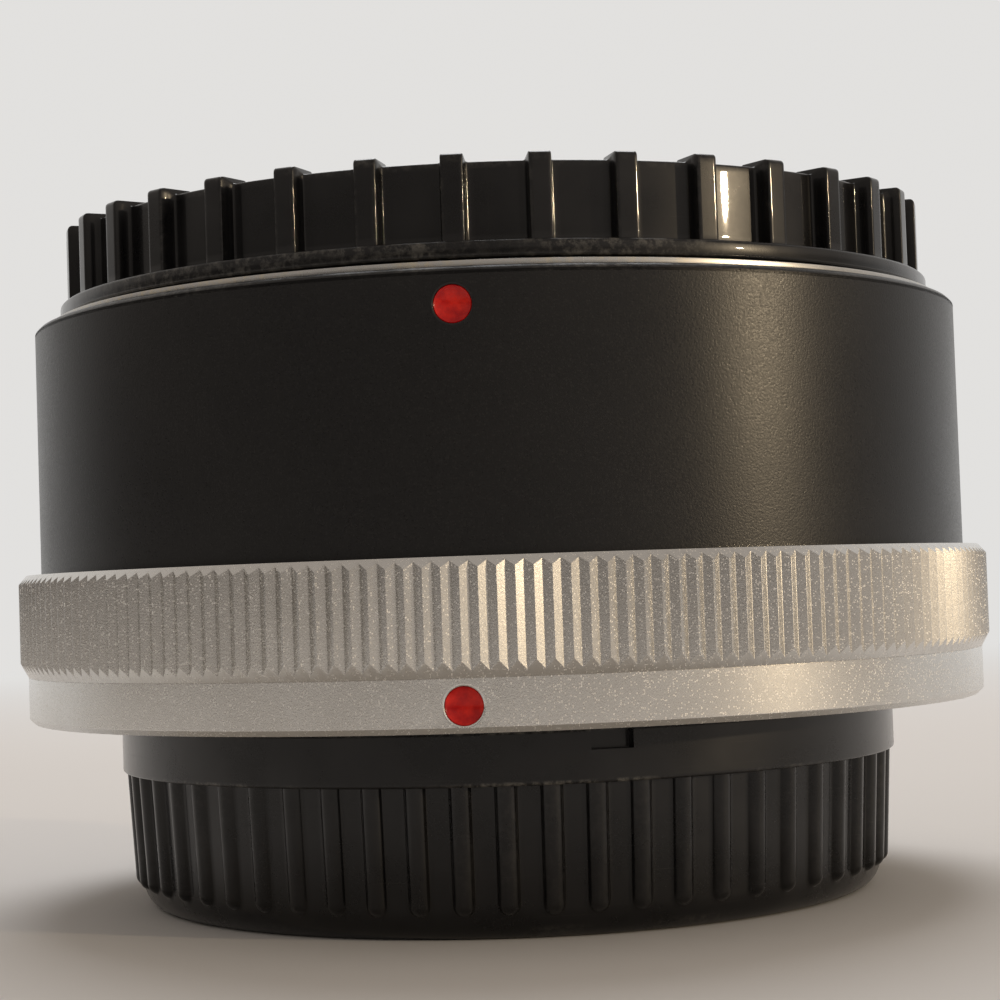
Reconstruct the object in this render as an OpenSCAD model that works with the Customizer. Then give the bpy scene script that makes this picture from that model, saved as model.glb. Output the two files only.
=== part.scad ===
// Teleconverter for a breech-lock reflex camera, standing on its rear cap.
// The optical axis is +Z with the lens side up, and the index marks face -Y.
// Angles around the axis count from the index, towards +X.

/* [Bayonet] */
// Clear diameter of the lens throat
throat_d = 48; // [44:0.5:54]
// Wall of a bayonet neck
neck_wall = 1; // [0.8:0.1:1.6]
// How far the claws stand out from the neck
claw_reach = 1.3; // [1:0.1:1.8]
// Thickness of the claws
claw_t = 1.5; // [1:0.1:2.2]
// Angle that one of the three claws covers
claw_span = 48; // [36:1:52]
// Radial play between bayonet parts
bayonet_gap = 0.25; // [0.15:0.05:0.4]
// Axial play between bayonet parts
bayonet_play = 0.2; // [0.1:0.05:0.3]

/* [Rear cap] */
// Height of the rim under the grip ribs
rear_rim_h = 1.4; // [1:0.1:3]
// Height of the grip ribs
grip_h = 7.55; // [5:0.05:12]
// Height of the plain band above the grip ribs
rear_band_h = 3.15; // [2:0.05:6]
// How far the band stands out from the bayonet neck
rear_band_step = 1; // [0.7:0.1:1.6]
// How far the grip ribs lie inside the band
grip_step = 0.25; // [0.2:0.05:0.4]
// How far the ribbed wall narrows towards the base
rear_draft = 0.4; // [0:0.1:0.6]
// Thickness of the floor
rear_floor_t = 1.6; // [1.2:0.1:3]
// Number of grip ribs
grip_count = 60; // [40:1:72]
// Width of a grip rib
grip_w = 1.3; // [0.8:0.05:1.5]
// How far a grip rib stands out from the wall
grip_rise = 0.5; // [0.3:0.05:0.6]
// Angle from the index to the first grip rib
grip_a = 3.65; // [0:0.05:6]
// Width of the notch in the band
notch_w = 2.5; // [1:0.1:5]
// Height of the notch in the band
notch_h = 1.2; // [0.5:0.1:2]

/* [Breech ring] */
// Wall of the ring where it runs round the barrel
ring_wall = 0.9; // [0.7:0.1:2]
// How far the knurl's crests stand out from the smooth band
knurl_step = 0.5; // [0.35:0.05:0.8]
// Depth of the knurl's grooves
knurl_depth = 0.28; // [0.15:0.01:0.32]
// Number of knurls
knurl_count = 200; // [120:1:220]
// Height of the smooth band below the knurl
ring_band_h = 3.05; // [2:0.05:4.5]
// How far the ring laps the barrel
skirt_lap = 1.7; // [1:0.1:3]
// Gap between the ring and the rear cap
ring_cap_gap = 0.3; // [0.1:0.05:0.6]
// Thickness of the inner lip that the ring turns on
ring_lip_t = 1.2; // [1.2:0.1:2.5]
// Wall of the ring outside the claw ring
ring_shell = 1.65; // [1.2:0.05:2.2]
// How far the claw ring lies inside the ring's lower face
claw_recess = 0.2; // [0:0.05:0.5]
// Angle that the ring turns to lock
lock_turn = 60; // [40:1:60]

/* [Barrel] */
// Length of the barrel tube
barrel_len = 17.8; // [17.5:0.1:26]
// Wall of the barrel
barrel_wall = 2; // [2:0.1:3]
// Chamfer of the barrel's front edge
barrel_edge = 0.5; // [0.2:0.1:0.6]
// Face of the barrel that shows around the mount plate
barrel_land = 0.6; // [0.3:0.1:1.2]
// Thickness of the inner ledge that takes the mount plate's screws
ledge_t = 2; // [1.6:0.1:3]
// How far the ledge reaches inwards
ledge_w = 2.6; // [2.2:0.1:3]
// Diameter of the index dots
dot_d = 2.2; // [1.4:0.1:3]

/* [Front mount plate] */
// Thickness of the plate that shows above the barrel
plate_t = 0.4; // [0.3:0.05:1]
// Depth of the plate's seat in the barrel
plate_seat = 1.6; // [1.3:0.1:2.5]
// Height of the neck above the plate
neck_h = 3.2; // [2.9:0.1:5]
// Margin of the plate outside the front cap
plate_margin = 0.6; // [0.3:0.1:1]

/* [Front cap] */
// Wall of the skirt between the ribs
front_wall = 1.25; // [1:0.05:2]
// Thickness of the top
front_top_t = 1.35; // [1:0.05:2.5]
// Depth of the hollow in the middle of the top
front_hollow = 0.5; // [0.2:0.1:0.6]
// Room between the bayonet neck and the top
front_headroom = 1.35; // [0.5:0.05:4]
// Number of ribs
rib_count = 36; // [24:1:44]
// Depth of a rib
rib_depth = 1.05; // [0.5:0.05:1.5]
// Width of a rib at its face
rib_w = 1.1; // [0.6:0.1:1.6]
// Width of a rib at its root
rib_root_w = 1.9; // [1.6:0.1:2.4]
// How far the ribs rise past the top
rib_rise = 0.35; // [0:0.05:0.8]
// Height of the lip
lip_h = 1; // [0.6:0.05:1.5]
// How far the lip stands out from the ribs
lip_reach = 0.45; // [0.2:0.05:1]
// Thickness of the bayonet tabs inside
tab_t = 1.2; // [0.8:0.1:1.3]

/* [Rear mount] */
// Thickness of the seat plate
seat_plate_t = 1.6; // [1.4:0.1:3]
// Play of the rear tube in a camera's throat
tube_gap = 0.4; // [0.2:0.05:0.6]
// Wall of the rear tube
tube_wall = 0.7; // [0.5:0.05:1]
// Height of the rear tube behind the seat
tube_h = 2.6; // [1.5:0.1:4]
// How far the ring's journal lies outside the bayonet neck
journal_step = 1.6; // [1.6:0.1:1.8]
// How far the seat plate catches the ring's lip
lip_catch = 1.3; // [0.8:0.1:1.4]
// Width of the picture mask's window
mask_window_w = 24; // [18:0.5:26]
// Height of the picture mask's window
mask_window_h = 18; // [12:0.5:20]
// Thickness of the picture mask
mask_t = 0.5; // [0.3:0.05:0.6]
// Diameter of the locating pin
locating_pin_d = 1.2; // [0.8:0.1:1.4]

/* [Frame] */
// Thickness of the frame's flange under the barrel
frame_flange_t = 1.2; // [1:0.1:2]
// Thickness of the frame inside the barrel
frame_plug_t = 2.4; // [2.2:0.1:4]
// Wall of the frame round the lens cell
frame_hub = 2.2; // [1.8:0.1:2.6]

/* [Coupling levers] */
// Thickness of a lever arm
arm_t = 1.4; // [1:0.1:1.6]
// Width of a lever arm as an angle
arm_span = 8; // [5:0.5:10]
// Play of the arms inside the rear tube
arm_gap = 0.5; // [0.35:0.05:0.8]
// Play of the arms in their slots
slot_gap = 0.3; // [0.25:0.05:0.4]
// How far the lever rings lie outside the arms
lever_step = 1.8; // [1.4:0.1:2.2]
// Thickness of a lever ring
lever_t = 1.2; // [1.1:0.1:1.8]
// Thickness of an arm's foot
foot_t = 0.6; // [0.4:0.05:0.7]
// Travel of the diaphragm lever
diaphragm_turn = 25; // [10:1:28]
// Travel of the aperture signal lever
signal_turn = 30; // [10:1:32]
// How far the rear arms reach behind the seat
rear_reach = 6.6; // [4:0.1:9]
// Thickness of a circlip
circlip_t = 0.8; // [0.7:0.05:1.2]
// Width of a circlip
circlip_w = 1.45; // [1:0.05:1.6]
// Thickness of the light baffle
baffle_t = 1; // [0.8:0.1:1.5]
// Diameter of the full-aperture plunger
plunger_d = 1.6; // [1.2:0.1:1.8]
// Travel of the full-aperture plunger
plunger_travel = 2; // [1:0.1:2.4]
// How far the plunger shows behind the seat
plunger_reach = 3.2; // [1.5:0.1:4]
// Diameter of the spring wire
wire_d = 0.3; // [0.2:0.02:0.3]
// Turns of a lever spring
lever_coils = 13; // [8:1:16]
// Turns of the plunger spring
plunger_coils = 7; // [4:1:8]

/* [Optics] */
// Wall of the lens cell round the front glass
cell_wall = 2.4; // [2:0.1:3]
// Edge thickness of the front element
front_edge_t = 2; // [1.8:0.1:2.4]
// Edge thickness of the second element
second_edge_t = 1.6; // [1.4:0.1:2]
// Edge thickness of the third element
third_edge_t = 3; // [2.6:0.1:3.2]
// Edge thickness of the rear element
rear_edge_t = 1.4; // [1.2:0.1:1.6]
// Height of the spacer between the rear two elements
rear_spacer_h = 1.4; // [1.2:0.1:1.6]
// Thickness of the front retaining ring
front_retainer_t = 1.2; // [1:0.1:1.6]
// Thickness of the rear retaining ring
rear_retainer_t = 1.2; // [0.8:0.1:1.4]

/* [Fits] */
// Radial running play of turning and sliding parts
run_gap = 0.08; // [0.04:0.01:0.1]
// Play of parts that sit still in a bore or hole
seat_gap = 0.05; // [0.02:0.01:0.08]
// Axial play of turning parts
end_play = 0.2; // [0.1:0.05:0.3]

/* [Hidden] */
$fn = 96;
CLAWS = 3;
CLAW_PITCH = 360 / CLAWS;
CUT = 1;
SINK = 0.05;

// Bayonet radii, from the throat outwards
throat_r = throat_d / 2;
neck_r = throat_r + neck_wall;
claw_r = neck_r + claw_reach;
claw_clear_r = claw_r + bayonet_gap;
neck_clear_r = neck_r + bayonet_gap;

// Front cap, mount plate, barrel and ring radii, each outside the last
front_skirt_r = claw_clear_r + front_wall;
rib_r = front_skirt_r + rib_depth;
lip_r = rib_r + lip_reach;
plate_r = lip_r + plate_margin;
barrel_r = plate_r + barrel_land + barrel_edge;
bore_r = barrel_r - barrel_wall;
groove_depth = 0.5;
groove_r = bore_r + groove_depth;
ledge_r = bore_r - ledge_w;
skirt_in_r = barrel_r + run_gap;
band_r = skirt_in_r + ring_wall;
crest_r = band_r + knurl_step;

// Rear mount and journal radii
journal_r = neck_r + journal_step;
lip_bore_r = journal_r + run_gap;
seat_plate_r = journal_r + lip_catch;
cavity_r = seat_plate_r + end_play;
claw_seat_r = band_r - ring_shell;
tube_r = throat_r - tube_gap;
tube_in_r = tube_r - tube_wall;

// Lever and frame radii, from the rear tube inwards
arm_out_r = tube_in_r - arm_gap;
arm_in_r = arm_out_r - arm_t;
arm_mid_r = (arm_out_r + arm_in_r) / 2;
slot_out_r = arm_out_r + slot_gap;
slot_in_r = arm_in_r - slot_gap;
lever_in_r = arm_out_r + lever_step;
lever_out_r = bore_r - run_gap;
lever_mid_r = (lever_in_r + lever_out_r) / 2;
foot_r = lever_mid_r;
rivet_r = (lever_in_r + foot_r) / 2;
frame_bore_r = slot_in_r - frame_hub;
frame_inset = 0.1;
frame_flange_r = barrel_r - frame_inset;
spigot_margin = 0.7;
spigot_in_r = slot_out_r + spigot_margin;

// Lens cell and glass radii
cell_r = frame_bore_r - seat_gap;
cell_flange_r = frame_bore_r + frame_hub / 2;
cell_front_step = 1;
cell_rear_step = 0.65;
cell_front_r = frame_bore_r - cell_front_step;
cell_rear_r = cell_front_r - cell_rear_step;
front_bore_r = cell_front_r - cell_wall;
front_glass_r = front_bore_r - seat_gap;
glass_step = 2;
rear_bore_r = front_bore_r - glass_step;
rear_glass_r = rear_bore_r - seat_gap;
retainer_lap = 1.2;
stop_r = rear_glass_r - retainer_lap;
mount_bore_gap = 0.2;
mount_bore_r = cell_rear_r + mount_bore_gap;
slot_margin = 0.4;
mask_r = slot_in_r - slot_margin;
lock_ring_r = slot_in_r - slot_margin;

// Rear cap radii
rear_band_r = neck_r + rear_band_step;
grip_top_r = rear_band_r - grip_step;
grip_base_r = grip_top_r - rear_draft;
grip_sink = 0.3;
cup_top_r = grip_top_r - grip_rise;
cup_base_r = grip_base_r - grip_rise;
base_round_w = 1.4;
base_round_h = 1.8;
EDGE_STEPS = 6;
rear_edge_r = 1;
foot_rim_w = 2.25;
foot_hollow = 0.4;
foot_rim_r = cup_base_r - base_round_w - foot_rim_w;

// Heights, from the base of the rear cap upwards
grip_top_z = rear_rim_h + grip_h;
shoulder_z = grip_top_z + rear_band_h;
ring_z = shoulder_z + ring_cap_gap;
claw_z = ring_z + claw_recess;
claw_top_z = claw_z + claw_t;
lug_z = claw_top_z + bayonet_play;
lug_top_z = lug_z + claw_t;
seat_z = lug_top_z + bayonet_play;
seat_top_z = seat_z + seat_plate_t;
ring_lip_z = seat_top_z + end_play;
frame_z = ring_lip_z + ring_lip_t + end_play;
barrel_z = frame_z + frame_flange_t;
ring_top_z = barrel_z + skirt_lap;
frame_top_z = barrel_z + frame_plug_t;
barrel_top_z = barrel_z + barrel_len;
plate_z = barrel_top_z + plate_t;
plate_base_z = barrel_top_z - plate_seat;
ledge_z = plate_base_z - ledge_t;
baffle_z = ledge_z - baffle_t;
neck_top_z = plate_z + neck_h;

// Front cap heights
front_lip_z = plate_z + bayonet_play;
front_lip_top_z = front_lip_z + lip_h;
front_ceiling_z = neck_top_z + front_headroom;
front_top_z = front_ceiling_z + front_top_t;
rib_top_z = front_top_z + rib_rise;

// Lever heights
clip_play = end_play * 0.75;
diaphragm_z = frame_top_z + end_play;
diaphragm_top_z = diaphragm_z + lever_t;
lower_circlip_z = diaphragm_top_z + clip_play;
signal_z = lower_circlip_z + circlip_t + clip_play;
signal_top_z = signal_z + lever_t;
upper_circlip_z = signal_top_z + clip_play;
tip_gap = 0.2;
front_tip_z = plate_base_z - tip_gap;
rear_tip_z = seat_z - rear_reach;
tube_z = seat_z - tube_h;
mask_z = seat_z - mask_t;

// Radii of the glass surfaces, as multiples of the glass radius
front_curve = front_glass_r * 4.7;
front_hollow_curve = front_glass_r * 3;
second_curve = front_glass_r * 2.7;
third_curve = rear_glass_r * 7;
third_hollow_curve = rear_glass_r * 5.4;
rear_curve = rear_glass_r * 4.6;
rear_hollow_curve = rear_glass_r * 7;

// How far a ring stands off the rim of a bulging face, so that its inner edge rests there
glass_gap = 0.02;
function stand_off(r, curve) =
    sqrt(curve * curve - pow(r - retainer_lap, 2)) - sqrt(curve * curve - r * r) + glass_gap;

// Glass heights: the front element hangs from the light baffle, the others from the cell's stop
stop_t = 1;
cell_rim = 0.3;
cell_gap = 0.4;
cell_top_z = baffle_z - cell_gap;
front_retainer_top_z = cell_top_z - cell_rim;
front_retainer_z = front_retainer_top_z - front_retainer_t;
front_rim_z = front_retainer_z - stand_off(front_glass_r, front_curve);
front_z = front_rim_z - front_edge_t;
stop_z = frame_top_z + stop_t;
second_z = stop_z + stop_t;
second_rim_z = second_z + second_edge_t;
front_spacer_z = second_rim_z + stand_off(front_glass_r, second_curve);
third_z = stop_z - third_edge_t;
rear_spacer_z = third_z - rear_spacer_h;
rear_rim_z = rear_spacer_z - stand_off(rear_glass_r, rear_curve);
rear_z = rear_rim_z - rear_edge_t;
rear_retainer_z = rear_z - rear_retainer_t;
cell_z = rear_retainer_z - cell_rim;
cell_flange_t = 1.2;
lock_ring_t = 1.2;
lock_ring_z = frame_z - lock_ring_t;
spanner_slot = 1;
spanner_slot_d = 0.5;
GLASS_FN = 300;

// Screws: head and shank radius of each size, the driver slot, and pressed or riveted parts
screw_head_r = 1.1;
screw_shank_r = 0.6;
fine_head_r = 0.85;
fine_shank_r = 0.45;
driver_w = 0.3;
driver_d = 0.25;
press_gap = 0.02;
rivet_shank_r = 0.55;
rivet_head_r = 0.8;
rivet_head_t = 0.2;

// Places and lengths of the screws and pins, from the rear to the front
claw_screw_r = (cavity_r + claw_seat_r) / 2;
claw_screw_len = 3;
locating_pin_r = neck_clear_r + locating_pin_d / 2 + SINK;
locating_pin_z = claw_top_z + end_play * 2;
locating_pin_sink = 1;
mount_screws_n = 4;
mount_screw_r = (spigot_in_r + journal_r) / 2;
mount_screw_len = 4;
mask_screws_n = 2;
mask_screw_r = (mask_r + mount_bore_r) / 2;
mask_screw_bite = 1.2;
mask_screw_len = mask_t + mask_screw_bite;
stop_screw_r = 0.5;
stop_screw_back = 0.6;
stop_screw_reach = 0.8;
stop_screw_z = ring_lip_z + ring_lip_t / 2;
stop_screw_in_r = spigot_in_r + stop_screw_back;
stop_screw_out_r = lip_bore_r + stop_screw_reach;
stop_slot_r = stop_screw_out_r + end_play;
frame_screws_n = 4;
frame_screw_r = barrel_r - barrel_wall / 2;
frame_screw_len = 3.4;
plate_screws_n = 4;
plate_screw_r = bore_r - ledge_w * 0.4;
plate_screw_len = plate_t + plate_seat + ledge_t * 0.8;
baffle_screws_n = 3;
baffle_screw_r = bore_r - ledge_w / 2;
baffle_screw_len = baffle_t + ledge_t * 0.6;
baffle_gap = 0.3;
baffle_in_r = cell_front_r - retainer_lap;

// Index dots: depth of the dimple, thickness of the enamel, and heights
dot_r = dot_d / 2;
dot_sink = 0.4;
dot_paint = 0.3;
dot_drop = 2.15;
ring_dot_z = ring_z + ring_band_h / 2;
barrel_dot_z = barrel_top_z - dot_drop;

// Knurl: start of its slope, and edges of the ring
knurl_z = ring_z + ring_band_h;
knurl_lead = knurl_step * 1.8;
knurl_top_lead = knurl_step * 1.2;
valley_r = crest_r - knurl_depth;
ring_edge = 0.35;

// Edges of the front cap and the bed of its ribs
cap_edge = 0.3;
rib_edge = 0.5;
rib_edge_in = 0.35;
rib_bed = 0.15;
rib_in_r = claw_clear_r + rib_bed;

// Places around the axis, as angles from the index
lug_a = CLAW_PITCH / 2;
notch_a = 17.5;
plunger_a = 40;
diaphragm_a = 110;
signal_a = 210;
rear_arm_lag = 14;
diaphragm_window_a = 260;
signal_window_a = 0;
window_span = 70;
post_inset = 4;
post_a = window_span - post_inset;
stop_a = 180;
screw_a = 45;
baffle_screw_a = 90;
lower_split_a = 90;
upper_split_a = 270;
split_span = 14;

// Lever springs and their windows
COIL_SIDES = 6;
COIL_RINGS = 8;
coil_r = 0.55;
coil_seat = 0.2;
window_w = 2.2;
window_in_r = lever_mid_r - window_w / 2;
window_out_r = lever_mid_r + window_w / 2;
post_r = 0.6;
post_margin = asin((post_r + slot_gap) / lever_mid_r);
post_sink = 1.2;
spring_start_a = asin((wire_d / 2 + coil_seat) / lever_mid_r);
spring_end_a = post_a - asin((post_r + wire_d / 2 + coil_seat) / lever_mid_r);

// Full-aperture plunger
plunger_r = plunger_d / 2;
plunger_hole_r = plunger_r + run_gap;
collar_step = 0.7;
collar_r = plunger_r + collar_step;
collar_t = 0.8;
collar_z = baffle_z - end_play - collar_t;
coil_play = 0.15;
plunger_coil_r = plunger_r + wire_d / 2 + coil_play;
plunger_spring_low_z = frame_top_z + wire_d / 2 + SINK;
plunger_spring_high_z = collar_z - wire_d / 2 - SINK;
plunger_tip_z = seat_z - plunger_reach;
plunger_front_z = ledge_z + plunger_travel - tip_gap;

// Turns children to an angle from the index
module at(a) {
    rotate([0, 0, a - 90])
        children();
}

// Copies children round the axis at a radius
module around(count, r, a) {
    for (i = [0 : count - 1])
        at(a + i * 360 / count)
            translate([r, 0, 0])
                children();
}

// Plain ring between two radii and two heights
module ring_block(r0, r1, z0, z1) {
    rotate_extrude()
        translate([r0, z0])
            square([r1 - r0, z1 - z0]);
}

// Piece of such a ring, from one angle to another
module arc_block(r0, r1, z0, z1, a0, a1) {
    at(a0)
        rotate_extrude(angle = a1 - a0)
            translate([r0, z0])
                square([r1 - r0, z1 - z0]);
}

// The three claws of a bayonet, centred on an angle
module claws(r0, r1, z0, z1, a) {
    for (i = [0 : CLAWS - 1])
        arc_block(r0, r1, z0, z1,
            a + i * CLAW_PITCH - claw_span / 2, a + i * CLAW_PITCH + claw_span / 2);
}

// The three gaps between claws that are centred on an angle
module claw_gaps(r0, r1, z0, z1, a) {
    for (i = [0 : CLAWS - 1])
        arc_block(r0, r1, z0, z1,
            a + i * CLAW_PITCH + claw_span / 2, a + (i + 1) * CLAW_PITCH - claw_span / 2);
}

// Countersunk screw that points up, its head flush at height 0
module screw(head_r, shank_r, len) {
    difference() {
        union() {
            cylinder(h = head_r - shank_r, r1 = head_r, r2 = shank_r);
            cylinder(h = len, r = shank_r);
        }
        translate([-head_r, -driver_w / 2, -CUT])
            cube([2 * head_r, driver_w, CUT + driver_d]);
    }
}

// Hole for such a screw
module screw_hole(head_r, shank_r, len) {
    translate([0, 0, -CUT])
        cylinder(h = CUT, r = head_r + seat_gap);
    cylinder(h = head_r - shank_r, r1 = head_r + seat_gap, r2 = shank_r + seat_gap);
    cylinder(h = len + seat_gap, r = shank_r + seat_gap);
}

// Arc slots for both levers' arms, with the arms' angles given
module lever_slots(z0, z1, lag) {
    margin = arm_span / 2 + asin(slot_gap / arm_mid_r);
    for (lever = [[diaphragm_a, diaphragm_turn], [signal_a, signal_turn]])
        arc_block(slot_in_r, slot_out_r, z0, z1,
            lever[0] + lag - margin, lever[0] + lag + lever[1] + margin);
}

// Hole for the full-aperture plunger
module plunger_hole(z0, z1) {
    at(plunger_a)
        translate([arm_mid_r, 0, z0])
            cylinder(h = z1 - z0, r = plunger_hole_r);
}

// Radial plug for an index dot, from one radius to another
module dot_plug(z, r0, r1, plug_r) {
    intersection() {
        at(0)
            translate([0, 0, z])
                rotate([0, 90, 0])
                    cylinder(h = r1 + CUT, r = plug_r);
        ring_block(r0, r1, z - 2 * plug_r, z + 2 * plug_r);
    }
}

// Glass element: positive curves bulge out, negative ones are hollow, and 0 is flat
module glass(r, z0, z1, front, rear) {
    function rise(curve) = sqrt(curve * curve - r * r);
    top_z = front > 0 ? z1 + front : z1;
    low_z = rear > 0 ? z0 - rear : z0;
    difference() {
        intersection() {
            translate([0, 0, low_z])
                cylinder(h = top_z - low_z, r = r);
            if (front > 0)
                translate([0, 0, z1 - rise(front)])
                    sphere(r = front, $fn = GLASS_FN);
            if (rear > 0)
                translate([0, 0, z0 + rise(rear)])
                    sphere(r = rear, $fn = GLASS_FN);
        }
        if (front < 0)
            translate([0, 0, z1 + rise(front)])
                sphere(r = -front, $fn = GLASS_FN);
        if (rear < 0)
            translate([0, 0, z0 - rise(rear)])
                sphere(r = -rear, $fn = GLASS_FN);
    }
}

// Wire coil: one unbroken tube along points, each with the normal that leads away from the coil's axis
function tangent(path, i) =
    let (low = max(i - 1, 0), high = min(i + 1, len(path) - 1), along = path[high] - path[low])
    along / norm(along);
function wire_ring(path, normals, i) =
    let (n = normals[i], b = cross(tangent(path, i), n))
    [for (k = [0 : COIL_SIDES - 1])
        let (turn = 360 * k / COIL_SIDES)
        path[i] + wire_d / 2 * (cos(turn) * n + sin(turn) * b)];
function least_gap(path) =
    min([for (i = [0 : len(path) - 1])
        for (j = [i + COIL_RINGS / 2 : 1 : len(path) - 1])
            norm(path[i] - path[j])]) - wire_d;
module wire_coil(path, normals) {
    points = [for (i = [0 : len(path) - 1]) each wire_ring(path, normals, i)];
    last = len(path) - 1;
    sides = [for (i = [0 : last - 1])
        for (k = [0 : COIL_SIDES - 1])
            let (a = i * COIL_SIDES + k, b = i * COIL_SIDES + (k + 1) % COIL_SIDES)
            each [[a, a + COIL_SIDES, b], [b, a + COIL_SIDES, b + COIL_SIDES]]];
    ends = [for (k = [1 : COIL_SIDES - 2])
        each [[0, k, k + 1],
            [last * COIL_SIDES, last * COIL_SIDES + k + 1, last * COIL_SIDES + k]]];
    echo(least_gap_mm = least_gap(path));
    polyhedron(points = points, faces = concat(sides, ends));
}

// Lever spring, coiled along an arc in its ring's window
module lever_spring(z, a) {
    start = a + spring_start_a;
    finish = a + spring_end_a;
    steps = lever_coils * COIL_RINGS;
    function out(i) =
        let (t = start + (finish - start) * i / steps - 90)
        [cos(t), sin(t), 0];
    function lean(i) =
        let (turn = 360 * i / COIL_RINGS)
        cos(turn) * out(i) + [0, 0, sin(turn)];
    path = [for (i = [0 : steps]) out(i) * lever_mid_r + [0, 0, z] + coil_r * lean(i)];
    normals = [for (i = [0 : steps]) lean(i)];
    wire_coil(path, normals);
}

// Moulded cap on the camera side: ribbed cup with a rounded base, bayonet neck and three lugs
module rear_cap() {
    lean = atan(rear_draft / grip_h);
    base_curve = [for (i = [0 : EDGE_STEPS])
        let (turn = i * 90 / EDGE_STEPS)
        [cup_base_r - base_round_w + base_round_w * sin(turn), base_round_h - base_round_h * cos(turn)]];
    color("#1a1a1c")
    difference() {
        union() {
            rotate_extrude()
                polygon(concat(
                    [[0, foot_hollow], [foot_rim_r - foot_hollow, foot_hollow], [foot_rim_r, 0]],
                    base_curve,
                    [[cup_top_r, grip_top_z], [0, grip_top_z]]));
            for (i = [0 : grip_count - 1])
                at(grip_a + i * 360 / grip_count)
                    translate([cup_base_r - grip_sink, 0, rear_rim_h + grip_w / 2])
                        rotate([0, lean, 0])
                            grip_rib();
            rotate_extrude()
                polygon([[0, grip_top_z], [rear_band_r, grip_top_z], [rear_band_r, shoulder_z],
                    [neck_r, shoulder_z], [neck_r, lug_z], [claw_r, lug_z],
                    [claw_r, lug_top_z], [0, lug_top_z]]);
        }
        claw_gaps(neck_r - SINK, claw_r + CUT, lug_z - SINK, lug_top_z + CUT, lug_a);
        rotate_extrude()
            polygon([[0, rear_floor_t], [throat_r - rear_edge_r, rear_floor_t],
                [throat_r, rear_floor_t + rear_edge_r], [throat_r, lug_top_z + CUT], [0, lug_top_z + CUT]]);
        at(notch_a)
            translate([neck_clear_r, -notch_w / 2, shoulder_z - notch_h])
                cube([rear_band_step + CUT, notch_w, notch_h + CUT]);
    }
}

// One grip rib: round at its lower end, let into the wall and the band above it, standing out along +X
module grip_rib() {
    rotate([90, 0, 90])
        linear_extrude(grip_rise + grip_sink)
            union() {
                circle(r = grip_w / 2, $fn = 24);
                translate([-grip_w / 2, 0])
                    square([grip_w, grip_h - grip_w / 2 + grip_sink]);
            }
}

// Silver ring that turns to lock: smooth band below, knurled band above
module breech_ring() {
    outline = [for (i = [0 : knurl_count - 1])
        for (half = [0, 1])
            let (t = 360 * (i + half / 2) / knurl_count - 90)
            (half == 0 ? crest_r : valley_r) * [cos(t), sin(t)]];
    stop_margin = asin((stop_screw_r + slot_gap) / journal_r);
    color("#c9cbcc")
    difference() {
        union() {
            intersection() {
                translate([0, 0, knurl_z])
                    linear_extrude(ring_top_z - knurl_z)
                        polygon(outline);
                rotate_extrude()
                    polygon([[0, knurl_z], [band_r, knurl_z], [crest_r + SINK, knurl_z + knurl_lead],
                        [crest_r + SINK, ring_top_z - knurl_top_lead], [band_r, ring_top_z], [0, ring_top_z]]);
            }
            rotate_extrude()
                polygon([[0, ring_z], [band_r - ring_edge, ring_z], [band_r, ring_z + ring_edge],
                    [band_r, knurl_z], [band_r - SINK, knurl_z + SINK], [0, knurl_z + SINK]]);
        }
        translate([0, 0, ring_z - CUT])
            cylinder(h = claw_recess + claw_t + CUT, r = claw_seat_r);
        translate([0, 0, ring_z])
            cylinder(h = ring_lip_z - ring_z, r = cavity_r);
        translate([0, 0, ring_z])
            cylinder(h = ring_top_z - ring_z, r = lip_bore_r);
        translate([0, 0, ring_lip_z + ring_lip_t])
            cylinder(h = ring_top_z, r = skirt_in_r);
        arc_block(journal_r, stop_slot_r, ring_lip_z - SINK, ring_lip_z + ring_lip_t + SINK,
            stop_a - stop_margin, stop_a + lock_turn + stop_margin);
        translate([0, 0, claw_z])
            around(CLAWS, claw_screw_r, lug_a)
                screw_hole(fine_head_r, fine_shank_r, claw_screw_len);
        dot_plug(ring_dot_z, band_r - dot_sink, band_r + CUT, dot_r);
    }
}

// Red enamel in the dimple of the ring
module ring_index_dot() {
    color("#b8231c")
        dot_plug(ring_dot_z, band_r - dot_sink + press_gap,
            band_r - dot_sink + dot_paint, dot_r - press_gap);
}

// Steel ring inside the breech ring, with the claws that grip the camera's mount
module claw_ring() {
    color("#b9b9b6")
    difference() {
        ring_block(neck_clear_r, claw_seat_r - seat_gap, claw_z, claw_top_z);
        claw_gaps(neck_r, claw_clear_r, claw_z - CUT, claw_top_z + CUT, 0);
        translate([0, 0, claw_z])
            around(CLAWS, claw_screw_r, lug_a)
                screw_hole(fine_head_r, fine_shank_r, claw_screw_len);
    }
}

// Three countersunk screws that hold the claw ring in the breech ring
module claw_ring_screws() {
    color("#8f8f8d")
    translate([0, 0, claw_z])
        around(CLAWS, claw_screw_r, lug_a)
            screw(fine_head_r, fine_shank_r, claw_screw_len);
}

// Seat plate on the camera side, with the short tube that enters the camera's throat
module rear_mount() {
    color("#9a9c9e")
    difference() {
        union() {
            ring_block(mount_bore_r, seat_plate_r, seat_z, seat_top_z);
            ring_block(tube_in_r, tube_r, tube_z, seat_z + SINK);
        }
        lever_slots(seat_z - CUT, seat_top_z + CUT, rear_arm_lag);
        plunger_hole(seat_z - CUT, seat_top_z + CUT);
        translate([0, 0, seat_z])
            around(mount_screws_n, mount_screw_r, screw_a)
                screw_hole(screw_head_r, screw_shank_r, mount_screw_len);
        translate([0, 0, seat_z])
            around(mask_screws_n, mask_screw_r, 0)
                cylinder(h = seat_plate_t + CUT, r = fine_shank_r + seat_gap);
        at(0)
            translate([locating_pin_r, 0, seat_z - CUT])
                cylinder(h = CUT + locating_pin_sink, r = locating_pin_d / 2 + press_gap);
    }
}

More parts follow.
